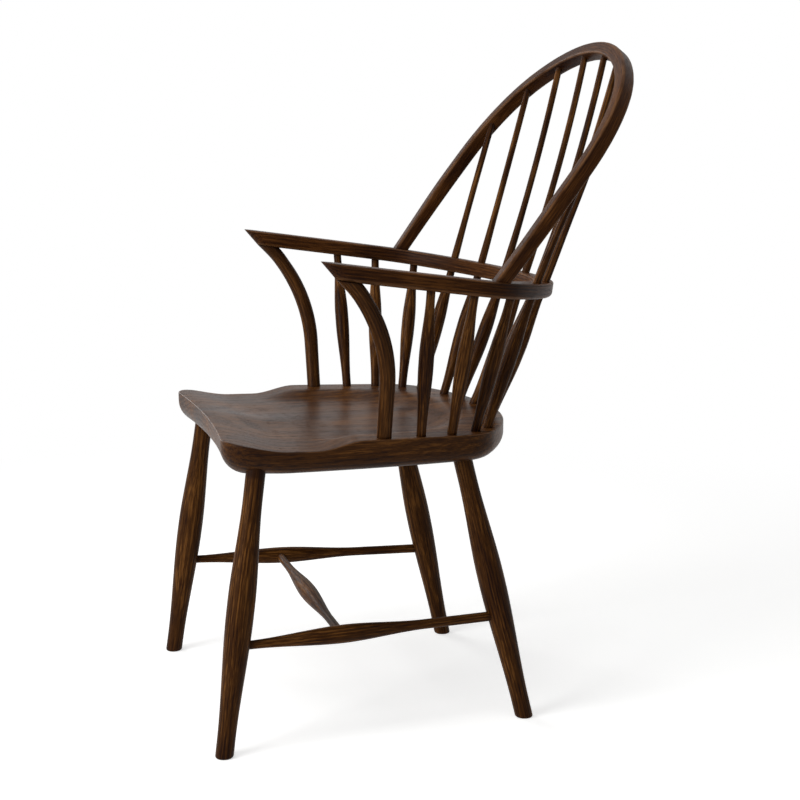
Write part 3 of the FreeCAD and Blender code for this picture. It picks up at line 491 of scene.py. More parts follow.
class Line:
    """Straight line that a turned piece follows."""

    def __init__(self, start: Vector, end: Vector) -> None:
        """Keep both ends."""
        self.start = start
        self.end = end

    def length(self) -> float:
        """Length of the line."""
        return (self.end - self.start).length

    def at(self, share: float) -> tuple[Vector, Vector]:
        """Point and direction at a share of the length; shares past the ends lead on straight."""
        return self.start.lerp(self.end, share), (self.end - self.start).normalized()

    def at_height(self, height: float) -> Vector:
        """Point of the line at a height above the floor."""
        return self.start.lerp(self.end, (height - self.start.z) / (self.end.z - self.start.z))


class BentLine:
    """Arc through three points that a bent spindle follows."""

    def __init__(self, start: Vector, middle: Vector, end: Vector) -> None:
        """Find the circle through the three points."""
        first, second = middle - start, end - start
        normal = first.cross(second)
        to_centre = (first.length_squared * second.cross(normal) + second.length_squared
                     * normal.cross(first)) / (2 * normal.length_squared)
        self.centre = start + to_centre
        self.radius = to_centre.length
        self.ray = -to_centre / self.radius
        self.ahead = normal.normalized().cross(self.ray)
        self.sweep = self.angle_of(end)
        self.middle_share = self.angle_of(middle) / self.sweep

    def angle_of(self, point: Vector) -> float:
        """Angle from the start to a point of the arc."""
        ray = point - self.centre
        return math.atan2(ray.dot(self.ahead), ray.dot(self.ray))

    def length(self) -> float:
        """Length of the arc."""
        return self.radius * self.sweep

    def at(self, share: float) -> tuple[Vector, Vector]:
        """Point and direction at a share of the length; shares past the ends lead on straight."""
        angle = self.sweep * min(max(share, 0.0), 1.0)
        ray = self.ray * math.cos(angle) + self.ahead * math.sin(angle)
        ahead = self.ahead * math.cos(angle) - self.ray * math.sin(angle)
        beyond = (share * self.sweep - angle) * self.radius
        return self.centre + ray * self.radius + ahead * beyond, ahead


@dataclass(frozen=True)
class Swell:
    """Turned profile: the shares of the length between which it swells, and shrinks again."""

    rise_start: float
    rise_end: float
    fall_start: float
    fall_end: float

    def swelling(self, share: float) -> float:
        """How far the piece has swelled at a share of its length, from 0 to 1."""
        if share <= self.fall_start:
            if self.rise_end <= self.rise_start:
                return 1.0
            return smooth_step((share - self.rise_start) / (self.rise_end - self.rise_start))
        return 1 - smooth_step((share - self.fall_start) / (self.fall_end - self.fall_start))

    def radius(self, share: float, start: float, belly: float, end: float) -> float:
        """Radius at a share of the length, from the radii at the start, the belly and the end."""
        edge = start if share < self.fall_start else end
        return blend(edge, belly, self.swelling(share))


def turned_stations(line: Line | BentLine, shares: Iterable[float], radius_at: Callable[[float], float],
                    sides: int, shaded: tuple[float, float], shade_reach: float) -> list[Station]:
    """Rings of a turned piece.

    Args:
        line: the line that it follows.
        shares: where the rings stand, as shares of the line's length.
        radius_at: radius at a share.
        sides: vertices of a ring.
        shaded: shares at which the piece enters its neighbours.
        shade_reach: length beside them over which the colour is darkened, as a dark joint line with painted
            shade.

    Returns:
        The stations in order.
    """
    stations = []
    length = line.length()
    for share in shares:
        point, ahead = line.at(share)
        across = ahead.cross(REARWARD if abs(ahead.y) < NEARLY_ALONG else UP).normalized()
        # Painted shade: the colour darkens towards each end and stays dark inside the neighbours, a dark
        # joint line with painted shade beside it.
        nearest = min(abs(share - place) for place in shaded) * length
        inside = share < shaded[0] or share > shaded[1]
        joint = 1.0 if inside else 1 - smooth_step(nearest / shade_reach)
        radius = radius_at(share)
        section = oval_section(radius, radius, sides)
        stations.append(Station(point, across, ahead.cross(across), ahead, share * length, section, joint))
    return stations


def turned_piece(name: str, line: Line | BentLine, radius_at: Callable[[float], float], rings: int,
                 sides: int, inside: float, shade_reach: float) -> bpy.types.Object:
    """Turned piece between two neighbours.

    Args:
        name: the piece's name.
        line: its axis, from the face of one neighbour to the face of the other.
        radius_at: radius at a share of the line.
        rings: steps along it.
        sides: vertices of a ring.
        inside: how far it reaches into each neighbour.
        shade_reach: length beside them over which the colour is darkened, as a dark joint line with painted
            shade.

    Returns:
        The closed piece.
    """
    beyond = inside / line.length()
    shares = spaced(-beyond, 1 + beyond, rings)
    piece = bar(name, turned_stations(line, shares, radius_at, sides, (0.0, 1.0), shade_reach))
    clean_up(piece)
    return piece


def mirrored(piece: bpy.types.Object, name: str) -> bpy.types.Object:
    """The same piece for the other side of the chair, with its own mesh."""
    twin = piece.copy()
    twin.data = piece.data.copy()
    twin.name = twin.data.name = name
    bpy.context.scene.collection.objects.link(twin)
    twin.data.transform(Matrix.Scale(-1, 4, ACROSS))
    twin.data.flip_normals()
    return twin


@dataclass
class Woodwork:
    """Names the pieces, gives each its own place in the timber, and hands them to the frame."""

    dress: Callable[[bpy.types.Object, Slot], None]
    made: list[bpy.types.Object] = field(default_factory=list)

    def finish(self, piece: bpy.types.Object, node: str, slot: Slot) -> None:
        """Dress a finished piece and let it stand for its solid.

        Args:
            piece: the piece, with its place in its mesh.
            node: the solid that it stands for.
            slot: its material slot.
        """
        shift = Vector([step * len(self.made) % 1 for step in TIMBER_STEPS])
        attribute = piece.data.attributes["grain_place"]
        flat = [0.0] * (3 * len(piece.data.vertices))
        attribute.data.foreach_get("vector", flat)
        places = [Vector(flat[start:start + 3]) + shift for start in range(0, len(flat), 3)]
        write_attribute(piece.data, "grain_place", places)
        self.dress(piece, slot)
        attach(piece, "root")
        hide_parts(node)
        self.made.append(piece)
        log.info("%s: %d faces, %s", piece.name, len(piece.data.polygons), slot.value)

    def finish_pair(self, piece: bpy.types.Object, stem: str, slot: Slot, number: str = "") -> None:
        """Finish a left piece and its mirror image on the right."""
        ending = "turned" if slot is Slot.TURNED else "wood"
        twin = mirrored(piece, f"{stem}_right{number}_{ending}")
        self.finish(piece, f"{stem}_left{number}", slot)
        self.finish(twin, f"{stem}_right{number}", slot)


@dataclass
class Seat:
    """Saddled seat plank."""

    deck: SlopedPlane = SlopedPlane(0.4688, 1.26)
    underside: SlopedPlane = SlopedPlane(0.4214, 0.26)
    front_y: float = -0.221
    front_radius: float = 2.1
    front_corner: float = 0.045
    half_width: float = 0.253
    widest_y: float = -0.1
    side_radius: float = 1.86
    rear_corner: float = 0.074
    rear_radius: float = 0.36
    rear_y: float = 0.261
    side_under_edge: float = 0.025
    front_under_edge: float = 0.037
    side_arris: float = 0.0022
    front_arris: float = 0.0025
    arris_change: tuple[float, float] = (-0.13, -0.2)
    saddle_depth: float = 0.0135
    saddle_half_width: float = 0.208
    saddle_middle_y: float = -0.092
    saddle_rear_y: float = 0.196
    saddle_squareness: float = 3.2
    roll_in: float = 0.052
    front_rise: float = 0.1
    run_out_y: float = -0.022
    run_out_length: float = 0.072
    pommel_half_width: float = 0.048
    pommel_height: float = 0.0065
    pommel_length: float = 0.19
    sides: int = 264
    arris_steps: int = 6
    under_steps: int = 10
    deck_rings: int = 56
    deck_inset: float = 0.02
    innermost: float = 0.01
    rim_insets: tuple[float, ...] = (0.014, 0.009)
    side_shares: tuple[float, ...] = (0.2, 0.4, 0.6, 0.8)
    under_shares: tuple[float, ...] = (0.98, 0.9, 0.6, 0.3, 0.02)
    middle: Vector = field(default_factory=lambda: Vector((0.0, 0.02, 0.0)))

    def __post_init__(self) -> None:
        """Lay out the plan."""
        self.outline = PlanOutline(self.rear_y, self.rear_radius, self.rear_corner, self.half_width,
                                   self.widest_y, self.side_radius)
        self.outline.close_front(self.front_y, self.front_radius, self.front_corner)

    def hollow(self, x: float, y: float) -> float:
        """Depth of the saddle below the deck."""
        behind = max(0.0, y - self.saddle_middle_y) / (self.saddle_rear_y - self.saddle_middle_y)
        corner = (abs(x) / self.saddle_half_width) ** self.saddle_squareness \
            + behind ** self.saddle_squareness
        inside = (1 - corner ** (1 / self.saddle_squareness)) * self.saddle_half_width
        rolled_in = smooth_step(inside / self.roll_in)
        run_out = smooth_step((self.run_out_y - y) / self.run_out_length)
        cover = rolled_in + (1 - rolled_in) * run_out
        behind_front = y - self.front_y + x * x / (2 * self.front_radius)
        rise = smooth_step(behind_front / self.front_rise)
        faded = 1 - smooth_step(behind_front / self.pommel_length)
        ridge = math.exp(-(x / self.pommel_half_width) ** 2) * faded
        return (self.saddle_depth - self.pommel_height * ridge) * cover * rise

    def top_at(self, x: float, y: float) -> float:
        """Height of the seat's upper face above the floor."""
        return self.deck.height_at(y) - self.hollow(x, y)

    def frontness(self, y: float) -> float:
        """1 at the front edge, which is rounder above and below, and 0 along the sides."""
        start, end = self.arris_change
        return smooth_step((y - start) / (end - start))

    def arris_at(self, y: float) -> float:
        """Radius of the arris round the deck."""
        return blend(self.side_arris, self.front_arris, self.frontness(y))

    def under_edge_at(self, y: float) -> float:
        """Radius of the rounded edge below."""
        return blend(self.side_under_edge, self.front_under_edge, self.frontness(y))

    def on_deck(self, run: float, inset: float) -> Vector:
        """Point on the deck, from its run along the outline and its inset."""
        return self.deck.lift(self.outline.place(run, -inset)[0])

    def rings(self) -> list[Callable[[int], Spot]]:
        """Rings of the shell, from the middle of the deck over the edge to the middle below."""
        reach = 2 * self.outline.length()

        def plan(index: int, inset: float, shrink: float = 1.0) -> Vector:
            """Point of the outline, drawn in and then shrunk towards the middle."""
            run = reach * index / self.sides
            run = run if run <= reach / 2 else run - reach
            point = self.outline.place(run, -inset)[0]
            return self.middle + (point - self.middle) * shrink

        def deck_spot(inset: float, shrink: float) -> Callable[[int], Spot]:
            """Ring on the upper face."""
            def spot(index: int) -> Spot:
                """Spot of the ring."""
                point = plan(index, inset, shrink)
                point.z = self.top_at(point.x, point.y)
                return Spot(point, Vector((point.x, point.z, point.y)))
            return spot

        def arris_spot(angle: float) -> Callable[[int], Spot]:
            """Ring on the rounded arris, at an angle round it from the deck."""
            def spot(index: int) -> Spot:
                """Spot of the ring."""
                radius = self.arris_at(plan(index, 0.0).y)
                point = plan(index, radius * (1 - math.sin(angle)))
                point.z = self.top_at(point.x, point.y) - radius * (1 - math.cos(angle))
                wear = math.sin(2 * angle) * (1 - self.frontness(point.y))
                return Spot(point, Vector((point.x, point.z, point.y)), wear)
            return spot

        def side_spot(share: float) -> Callable[[int], Spot]:
            """Ring on the side, at a share of the way down to the rounding."""
            def spot(index: int) -> Spot:
                """Spot of the ring."""
                point = plan(index, 0.0)
                top = self.top_at(point.x, point.y) - self.arris_at(point.y)
                below = self.underside.height_at(point.y) + self.under_edge_at(point.y)
                point.z = blend(top, below, share)
                return Spot(point, Vector((point.x, point.z, point.y)))
            return spot

        def under_spot(angle: float, shrink: float) -> Callable[[int], Spot]:
            """Ring on the rounded edge below, at an angle round it, or on the underside."""
            def spot(index: int) -> Spot:
                """Spot of the ring."""
                radius = self.under_edge_at(plan(index, 0.0).y)
                point = plan(index, radius * (1 - math.cos(angle)), shrink)
                point.z = self.underside.height_at(point.y) + radius * (1 - math.sin(angle))
                return Spot(point, Vector((point.x, point.z, point.y)))
            return spot

        shrinks = spaced(self.innermost, 1.0, self.deck_rings)
        shells = [deck_spot(self.deck_inset, shrink) for shrink in shrinks]
        shells += [deck_spot(inset, 1) for inset in self.rim_insets]
        shells += [arris_spot(angle) for angle in spaced(0, math.pi / 2, self.arris_steps)]
        shells += [side_spot(share) for share in self.side_shares]
        shells += [under_spot(angle, 1) for angle in spaced(0, math.pi / 2, self.under_steps)]
        shells += [under_spot(math.pi / 2, shrink) for shrink in self.under_shares]
        return shells

    def build(self, wood: Woodwork) -> None:
        """Model and dress the seat."""
        shells = self.rings()
        piece = ringed_blank("seat_plank", self.sides, len(shells))
        carry(piece, self.sides, lambda index, ring: shells[ring](index))
        clean_up(piece)
        wood.finish(piece, "seat", Slot.SEAT)


@dataclass
class ArmBow:
    """Bent arm bow with pointed ends."""

    plane: SlopedPlane = SlopedPlane(0.7275, 8.12)
    thickness: float = 0.024
    width: float = 0.034
    easings: tuple[float, ...] = (0.003, 0.003, 0.005, 0.007)
    half_width: float = 0.2919
    widest_y: float = -0.116
    side_radius: float = 3.29
    corner_radius: float = 0.11
    rear_radius: float = 0.33
    rear_y: float = 0.33
    tip_y: float = -0.098
    tip_taper: float = 0.027
    tip_slant: float = 48.5
    slant_fade: float = 0.12
    step: float = 0.009
    corner_steps: int = 5
    near_tip: tuple[float, ...] = (0.0, 0.0003, 0.001, 0.0022, 0.004, 0.0065, 0.0095, 0.013, 0.017, 0.022)

    def __post_init__(self) -> None:
        """Lay out the plan."""
        self.outline = PlanOutline(self.rear_y, self.rear_radius, self.corner_radius, self.half_width,
                                   self.widest_y, self.side_radius)
        self.outline.end_side_at(self.tip_y)

    def on_arm(self, run: float, outward: float = 0.0, depth: float = 0.0) -> Vector:
        """Point on the bow's top, or a depth below it."""
        return self.plane.lift(self.outline.place(run, outward)[0] - UP * depth)

    def half_width_at(self, from_tip: float) -> float:
        """Half the bow's width at a distance from its point."""
        if from_tip >= self.tip_taper:
            return self.width / 2
        return self.width / 2 * math.sqrt(max(0.0, 1 - (1 - from_tip / self.tip_taper) ** 2))

    def station(self, run: float) -> Station:
        """Ring of the bow at a distance from its rear middle, negative on the right."""
        from_tip = max(0.0, self.outline.length() - abs(run))
        half = self.half_width_at(from_tip)
        point, outward = self.outline.place(run)
        tilt = falling(self.plane.slope)
        ahead = clockwise(outward) * (1 if run >= 0 else -1)
        faded = smooth_step((from_tip - self.tip_taper) / self.slant_fade)
        slant = math.tan(math.radians(self.tip_slant)) * (1 - faded)
        square = eased_section((-half, -self.thickness), (half, 0.0), self.easings, self.corner_steps)
        section = tuple(SectionPoint(spot.across, spot.deep, spot.deep * slant, spot.wear)
                        for spot in square)
        centre = self.plane.lift(point)
        return Station(centre, tilt @ outward, tilt @ UP, tilt @ ahead, abs(run), section)

    def build(self, wood: Woodwork) -> None:
        """Model and dress the arm bow."""
        reach = self.outline.length()
        near_tip = (*self.near_tip, self.tip_taper)
        plain = spaced(0.0, reach - self.tip_taper - self.step, round(reach / self.step))
        left = plain + [reach - distance for distance in reversed(near_tip)]
        runs = [-run for run in reversed(left)] + left[1:]
        piece = bar("arm_bow_bent", [self.station(run) for run in runs])
        clean_up(piece)
        wood.finish(piece, "arm_bow", Slot.BENT)


@dataclass
class Hoop:
    """Bent hoop of a squarish bar, seated on the arm bow."""

    arm_bow: ArmBow
    foot_run: float = 0.325
    lean: float = 37.5
    flare: float = 6.0
    side_radius: float = 1.471
    side_turn: float = 8.0
    shoulder_radius: float = 0.211
    crown_radius: float = 0.332
    section_width: float = 0.0228
    section_depth: float = 0.0238
    easing: float = 0.0045
    foot_thinning: float = 0.003
    thinning_length: float = 0.16
    foot_clearance: float = 0.0001
    below_foot: float = 0.03
    shade_reach: float = 0.006
    step: float = 0.009
    corner_steps: int = 5

    def __post_init__(self) -> None:
        """Lay out half of the centre line, from the crown down to the foot."""
        self.foot = self.arm_bow.on_arm(self.foot_run)
        self.turn = Matrix.Rotation(math.radians(90 - self.lean), 3, "X")
        flare = math.radians(self.flare)
        side_end = math.radians(self.side_turn) - flare
        side_x = self.foot.x - self.side_radius * math.cos(flare)
        side = Vector((side_x, self.side_radius * math.sin(flare), 0.0))
        shoulder = side + Vector((math.cos(side_end), math.sin(side_end), 0.0)) \
            * (self.side_radius - self.shoulder_radius)
        narrowing = self.shoulder_radius - self.crown_radius
        shoulder_end = math.acos(-shoulder.x / narrowing)
        crown = Vector((0.0, shoulder.y + narrowing * math.sin(shoulder_end), 0.0))
        self.arcs = [Arc(crown, self.crown_radius, math.pi / 2, shoulder_end),
                     Arc(shoulder, self.shoulder_radius, shoulder_end, side_end),
                     Arc(side, self.side_radius, side_end, -flare)]

    def lift(self, point: Vector) -> Vector:
        """Point of the room for a point of the hoop's own plane."""
        return self.turn @ point + Vector((0.0, self.foot.y, self.foot.z))

    def length(self) -> float:
        """Length from the crown to a foot."""
        return sum(arc.length() for arc in self.arcs)

    def place(self, run: float) -> tuple[Vector, Vector]:
        """Point and outward direction in the hoop's plane, at a distance from its crown."""
        beyond = max(0.0, abs(run) - self.length())
        point, normal = along(self.arcs, abs(run) - beyond)
        return on_side(run, point + clockwise(normal) * beyond, normal)

    def inner_face(self, run: float) -> Vector:
        """Point of the room on the bar's inner face."""
        point, normal = self.place(run)
        return self.lift(point - normal * (self.section_width / 2))

    def station(self, run: float) -> Station:
        """Ring of the bar; its front face is drawn in towards the feet."""
        point, normal = self.place(run)
        from_foot = self.length() - abs(run)
        thinning = self.foot_thinning * (1 - smooth_step(from_foot / self.thinning_length))
        half_width, half_depth = self.section_width / 2, self.section_depth / 2
        section = eased_section((-half_width, -half_depth), (half_width, half_depth - thinning),
                                (self.easing,) * 4, self.corner_steps)
        ahead = clockwise(normal) * (1 if run >= 0 else -1)
        # Painted shade: the bar darkens towards its feet on the arm bow, a dark joint line with painted
        # shade.
        joint = 1 - smooth_step(from_foot / self.shade_reach)
        axes = [self.turn @ way for way in (normal, UP, ahead)]
        return Station(self.lift(point), *axes, run, section, joint)

    def build(self, wood: Woodwork) -> None:
        """Model and dress the hoop."""
        reach = self.length() + self.below_foot
        runs = spaced(-reach, reach, 2 * round(reach / self.step))
        piece = bar("hoop_bent", [self.station(run) for run in runs])
        up = self.arm_bow.plane.up()
        cut_off(piece, self.arm_bow.on_arm(0.0) + up * self.foot_clearance, -up)
        clean_up(piece)
        wood.finish(piece, "hoop", Slot.BENT)


@dataclass
class ArmSupports:
    """Arm supports: round at the seat, bending forward and widening to an oval head."""

    seat: Seat
    arm_bow: ArmBow
    foot_run: float = 0.414
    foot_inset: float = 0.016
    foot_radius: float = 0.0113
    neck_half_depth: float = 0.0166
    head_half_width: float = 0.0164
    head_half_depth: float = 0.0188
    head_share: float = 0.88
    upright: float = 0.076
    clearance: float = 0.0001
    into_seat: float = 0.006
    shade_reach: float = 0.003
    rings: int = 60
    sides: int = 40

    def stations(self) -> list[Station]:
        """Rings from inside the seat to the underside of the arm."""
        bow = self.arm_bow
        foot = self.seat.on_deck(self.foot_run, self.foot_inset)
        slant = math.tan(math.radians(bow.tip_slant))
        back = bow.thickness * slant + self.head_half_depth
        head = bow.on_arm(bow.outline.length() - back, depth=bow.thickness)
        head -= bow.plane.up() * self.clearance
        rise = head.z - foot.z
        bend_rise = rise - self.upright
        forward = foot.y - head.y
        bend_radius = (forward ** 2 + bend_rise ** 2) / (2 * forward)
        rings = []
        run = 0.0
        last = foot
        for share in [-self.into_seat / rise] + spaced(0.0, 1.0, self.rings):
            bent = max(0.0, share * rise - self.upright)
            y = foot.y - (bend_radius - math.sqrt(bend_radius ** 2 - bent ** 2))
            point = Vector((foot.x + share * (head.x - foot.x), y, foot.z + share * rise))
            half_width = blend(self.foot_radius, self.head_half_width, share * share)
            half_depth = blend(self.foot_radius, self.neck_half_depth, share * share)
            spread = smooth_step((share - self.head_share) / (1 - self.head_share))
            half_depth += (self.head_half_depth - self.neck_half_depth) * spread
            tilt = falling(blend(self.seat.deck.slope, bow.plane.slope, max(0.0, share)))
            run += (point - last).length
            last = point
            # Painted shade: darker towards the seat and the arm, a dark joint line with painted shade.
            from_end = min(max(0.0, share), 1 - share) * rise
            joint = 1 - smooth_step(from_end / self.shade_reach)
            section = oval_section(half_width, half_depth, self.sides)
            rings.append(Station(point, ACROSS, tilt @ REARWARD, tilt @ UP, run, section, joint))
        return rings

    def build(self, wood: Woodwork) -> None:
        """Model and dress both supports."""
        piece = bar("arm_support_left_wood", self.stations())
        clean_up(piece)
        wood.finish_pair(piece, "arm_support", Slot.SUPPORT)


@dataclass
class Legs:
    """Four turned legs, their feet cut level."""

    seat: Seat
    foot_radius: float = 0.0139
    belly_radius: float = 0.0209
    top_radius: float = 0.0147
    front_foot: tuple[float, float] = (0.2568, -0.243)
    front_top: tuple[float, float] = (0.2292, -0.1838)
    rear_foot: tuple[float, float] = (0.2198, 0.2457)
    rear_top: tuple[float, float] = (0.186, 0.1501)
    swell: Swell = Swell(0.06, 0.52, 0.55, 0.92)
    below_floor: float = 0.02
    foot_bevel: float = 0.0035
    into_seat: float = 0.02
    shade_reach: float = 0.005
    rings: int = 64
    sides: int = 40

    def line(self, row: str) -> Line:
        """Axis of the left leg of a row, from the floor to the underside of the seat."""
        feet_and_tops = {"front": (self.front_foot, self.front_top), "rear": (self.rear_foot, self.rear_top)}
        foot, top = feet_and_tops[row]
        return Line(Vector((*foot, 0.0)), Vector((*top, self.seat.underside.height_at(top[1]))))

    def radius_at(self, share: float) -> float:
        """Radius at a share of the leg's length."""
        return self.swell.radius(share, self.foot_radius, self.belly_radius, self.top_radius)

    def build(self, wood: Woodwork) -> None:
        """Model and dress the legs."""
        for row in ("front", "rear"):
            line = self.line(row)
            length = line.length()
            # The rings nearest the floor are left out, so that nothing stops the bevel of the foot.
            above = spaced(0.0, 1.0, self.rings)[2:]
            shares = [-self.below_floor / length, *above, 1 + self.into_seat / length]
            stations = turned_stations(line, shares, self.radius_at, self.sides, (-1.0, 1.0),
                                       self.shade_reach)
            piece = bar(f"leg_{row}_left_turned", stations)
            cut_off(piece, ORIGIN, -UP)
            ease_end(piece, ORIGIN, UP, self.foot_bevel)
            clean_up(piece)
            wood.finish_pair(piece, f"leg_{row}", Slot.TURNED)


@dataclass
class Stretchers:
    """Side stretchers between the legs of each side, and a cross stretcher between those."""

    legs: Legs
    height: float = 0.167
    side_front_radius: float = 0.0066
    side_belly_radius: float = 0.0141
    side_rear_radius: float = 0.0076
    belly_share: float = 0.385
    shrink_end: float = 0.72
    cross_end_radius: float = 0.0066
    cross_belly_radius: float = 0.014
    cross_swell: Swell = Swell(0.14, 0.5, 0.5, 0.86)
    inside: float = 0.006
    shade_reach: float = 0.005
    rings: int = 60
    sides: int = 32

    def leg_point(self, row: str) -> Vector:
        """Point of a left leg's axis at the stretchers' height."""
        return self.legs.line(row).at_height(self.height)

    def surface_line(self) -> Line:
        """Axis of the left side stretcher between the surfaces of its legs."""
        front, rear = self.leg_point("front"), self.leg_point("rear")
        ahead = (rear - front).normalized()
        ends = []
        for row, point, sign in (("front", front, 1), ("rear", rear, -1)):
            leg = self.legs.line(row)
            radius = self.legs.radius_at((point - leg.start).length / leg.length())
            ends.append(point + ahead * radius * sign)
        return Line(*ends)

    def turned(self, name: str, line: Line, swell: Swell, radii: tuple[float, ...]) -> bpy.types.Object:
        """Stretcher along a line, with its radii at the start, the belly and the end."""
        return turned_piece(name, line, lambda share: swell.radius(share, *radii), self.rings,
                            self.sides, self.inside, self.shade_reach)

    def build(self, wood: Woodwork) -> None:
        """Model and dress the three stretchers."""
        swell = Swell(0.0, self.belly_share, self.belly_share, self.shrink_end)
        piece = self.turned("side_stretcher_left_turned", self.surface_line(), swell,
                            (self.side_front_radius, self.side_belly_radius, self.side_rear_radius))
        wood.finish_pair(piece, "side_stretcher", Slot.TURNED)
        belly = self.leg_point("front").lerp(self.leg_point("rear"), self.belly_share)
        reach = belly.x - self.side_belly_radius
        line = Line(Vector((-reach, belly.y, belly.z)), Vector((reach, belly.y, belly.z)))
        piece = self.turned("cross_stretcher_turned", line, self.cross_swell,
                            (self.cross_end_radius, self.cross_belly_radius, self.cross_end_radius))
        wood.finish(piece, "cross_stretcher", Slot.TURNED)


@dataclass(frozen=True)
class ShortPlace:
    """Where a short spindle stands: its run on the seat, its inset there and its run on the bow."""

    foot_run: float
    inset: float
    top_run: float


@dataclass(frozen=True)
class LongPlace:
    """Where a long spindle stands: on the seat, its inset there, on the bow and on the hoop."""

    foot_run: float
    inset: float
    bow_run: float
    hoop_run: float


@dataclass
class Spindles:
    """Turned spindles: short ones under the arms and long ones through the bow into the hoop."""

    seat: Seat
    arm_bow: ArmBow
    hoop: Hoop
    foot_radius: float = 0.0074
    belly_radius: float = 0.0115
    bow_radius: float = 0.0066
    tip_radius: float = 0.0053
    thinning: float = 0.4
    swell: Swell = Swell(0.05, 0.48, 0.55, 0.95)
    bow_offset: float = 0.0025
    inside: float = 0.006
    shade_reach: float = 0.004
    short_places: tuple[ShortPlace, ...] = (
        ShortPlace(0.3545, 0.0148, 0.435),
        ShortPlace(0.3035, 0.0148, 0.366),
        ShortPlace(0.245, 0.023, 0.295),
    )
    long_places: tuple[LongPlace, ...] = (
        LongPlace(0.202, 0.016, 0.219, 0.3275),
        LongPlace(0.133, 0.022, 0.159, 0.2255),
        LongPlace(0.081, 0.022, 0.0965, 0.132),
        LongPlace(0.026, 0.022, 0.032, 0.0435),
    )
    short_rings: int = 44
    long_rings: int = 96
    sides: int = 28

    def short_radius(self, share: float) -> float:
        """Radius of a short spindle."""
        return self.swell.radius(share, self.foot_radius, self.belly_radius, self.bow_radius)

    def long_radius(self, share: float, bow_share: float) -> float:
        """Radius of a long spindle: turned below the bow, and thinning above it."""
        if share <= bow_share:
            return self.swell.radius(share / bow_share, self.foot_radius, self.belly_radius, self.bow_radius)
        thinned = smooth_step((share - bow_share) / (1 - bow_share) / self.thinning)
        return blend(self.bow_radius, self.tip_radius, thinned)

    def build(self, wood: Woodwork) -> None:
        """Model and dress the spindles."""
        for number, place in enumerate(self.short_places, start=1):
            line = Line(self.seat.on_deck(place.foot_run, place.inset),
                        self.arm_bow.on_arm(place.top_run, depth=self.arm_bow.thickness))
            piece = turned_piece(f"short_spindle_left_{number}_turned", line, self.short_radius,
                                 self.short_rings, self.sides, self.inside, self.shade_reach)
            wood.finish_pair(piece, "short_spindle", Slot.TURNED, f"_{number}")
        for number, place in enumerate(self.long_places, start=1):
            line = BentLine(self.seat.on_deck(place.foot_run, place.inset),
                            self.arm_bow.on_arm(place.bow_run, self.bow_offset, self.arm_bow.thickness / 2),
                            self.hoop.inner_face(place.hoop_run))
            piece = turned_piece(f"long_spindle_left_{number}_turned", line,
                                 lambda share: self.long_radius(share, line.middle_share),
                                 self.long_rings, self.sides, self.inside, self.shade_reach)
            wood.finish_pair(piece, "long_spindle", Slot.TURNED, f"_{number}")


@dataclass(frozen=True)
class NoiseLook:
    """Noise: how far it is drawn out along the grain, how fine it is and its detail."""

    stretch: float
    scale: float
    detail: float


@dataclass(frozen=True)
class GrainLook:
    """What all the oak has in common.

    A band is the stretch of a noise that is spread from 0 to 1, or to its third and fourth number.
    A weight is a part in the stain.
    """

    wander: NoiseLook = NoiseLook(0.15, 16.0, 2.0)
    wander_reach: float = 0.02
    ring_stretch: float = 0.02
    streaks: NoiseLook = NoiseLook(0.035, 1.0, 3.0)
    streak_shift: tuple[float, float, float] = (1.7, 2.3, 0.9)
    fibres: NoiseLook = NoiseLook(0.05, 700.0, 2.0)
    blotches: NoiseLook = NoiseLook(0.5, 13.0, 3.0)
    pores: NoiseLook = NoiseLook(0.045, 1500.0, 1.0)
    patches: NoiseLook = NoiseLook(0.35, 60.0, 3.0)
    ring_band: tuple[float, ...] = (0.1, 0.9)
    streak_band: tuple[float, ...] = (0.28, 0.72)
    fibre_band: tuple[float, ...] = (0.3, 0.7)
    fibre_weight: float = 0.3
    blotch_band: tuple[float, ...] = (0.3, 0.7)
    blotch_weight: float = 0.34
    early_band: tuple[float, ...] = (0.2, 0.8, 1.0, 0.35)
    pore_band: tuple[float, ...] = (0.56, 0.68)
    patch_band: tuple[float, ...] = (0.36, 0.6, 0.15, 1.0)
    dark_band: tuple[float, ...] = (0.15, 0.5)
    light_band: tuple[float, ...] = (0.5, 0.85)
    wear_power: float = 1.6
    fibre_height: float = 0.4
    pore_cover: float = 0.75
    pore_roughness: float = 0.25
    # How far joints darken the colour: a dark joint line with painted shade.
    joint_line_and_shade_cover: float = 0.7


GRAIN = GrainLook()


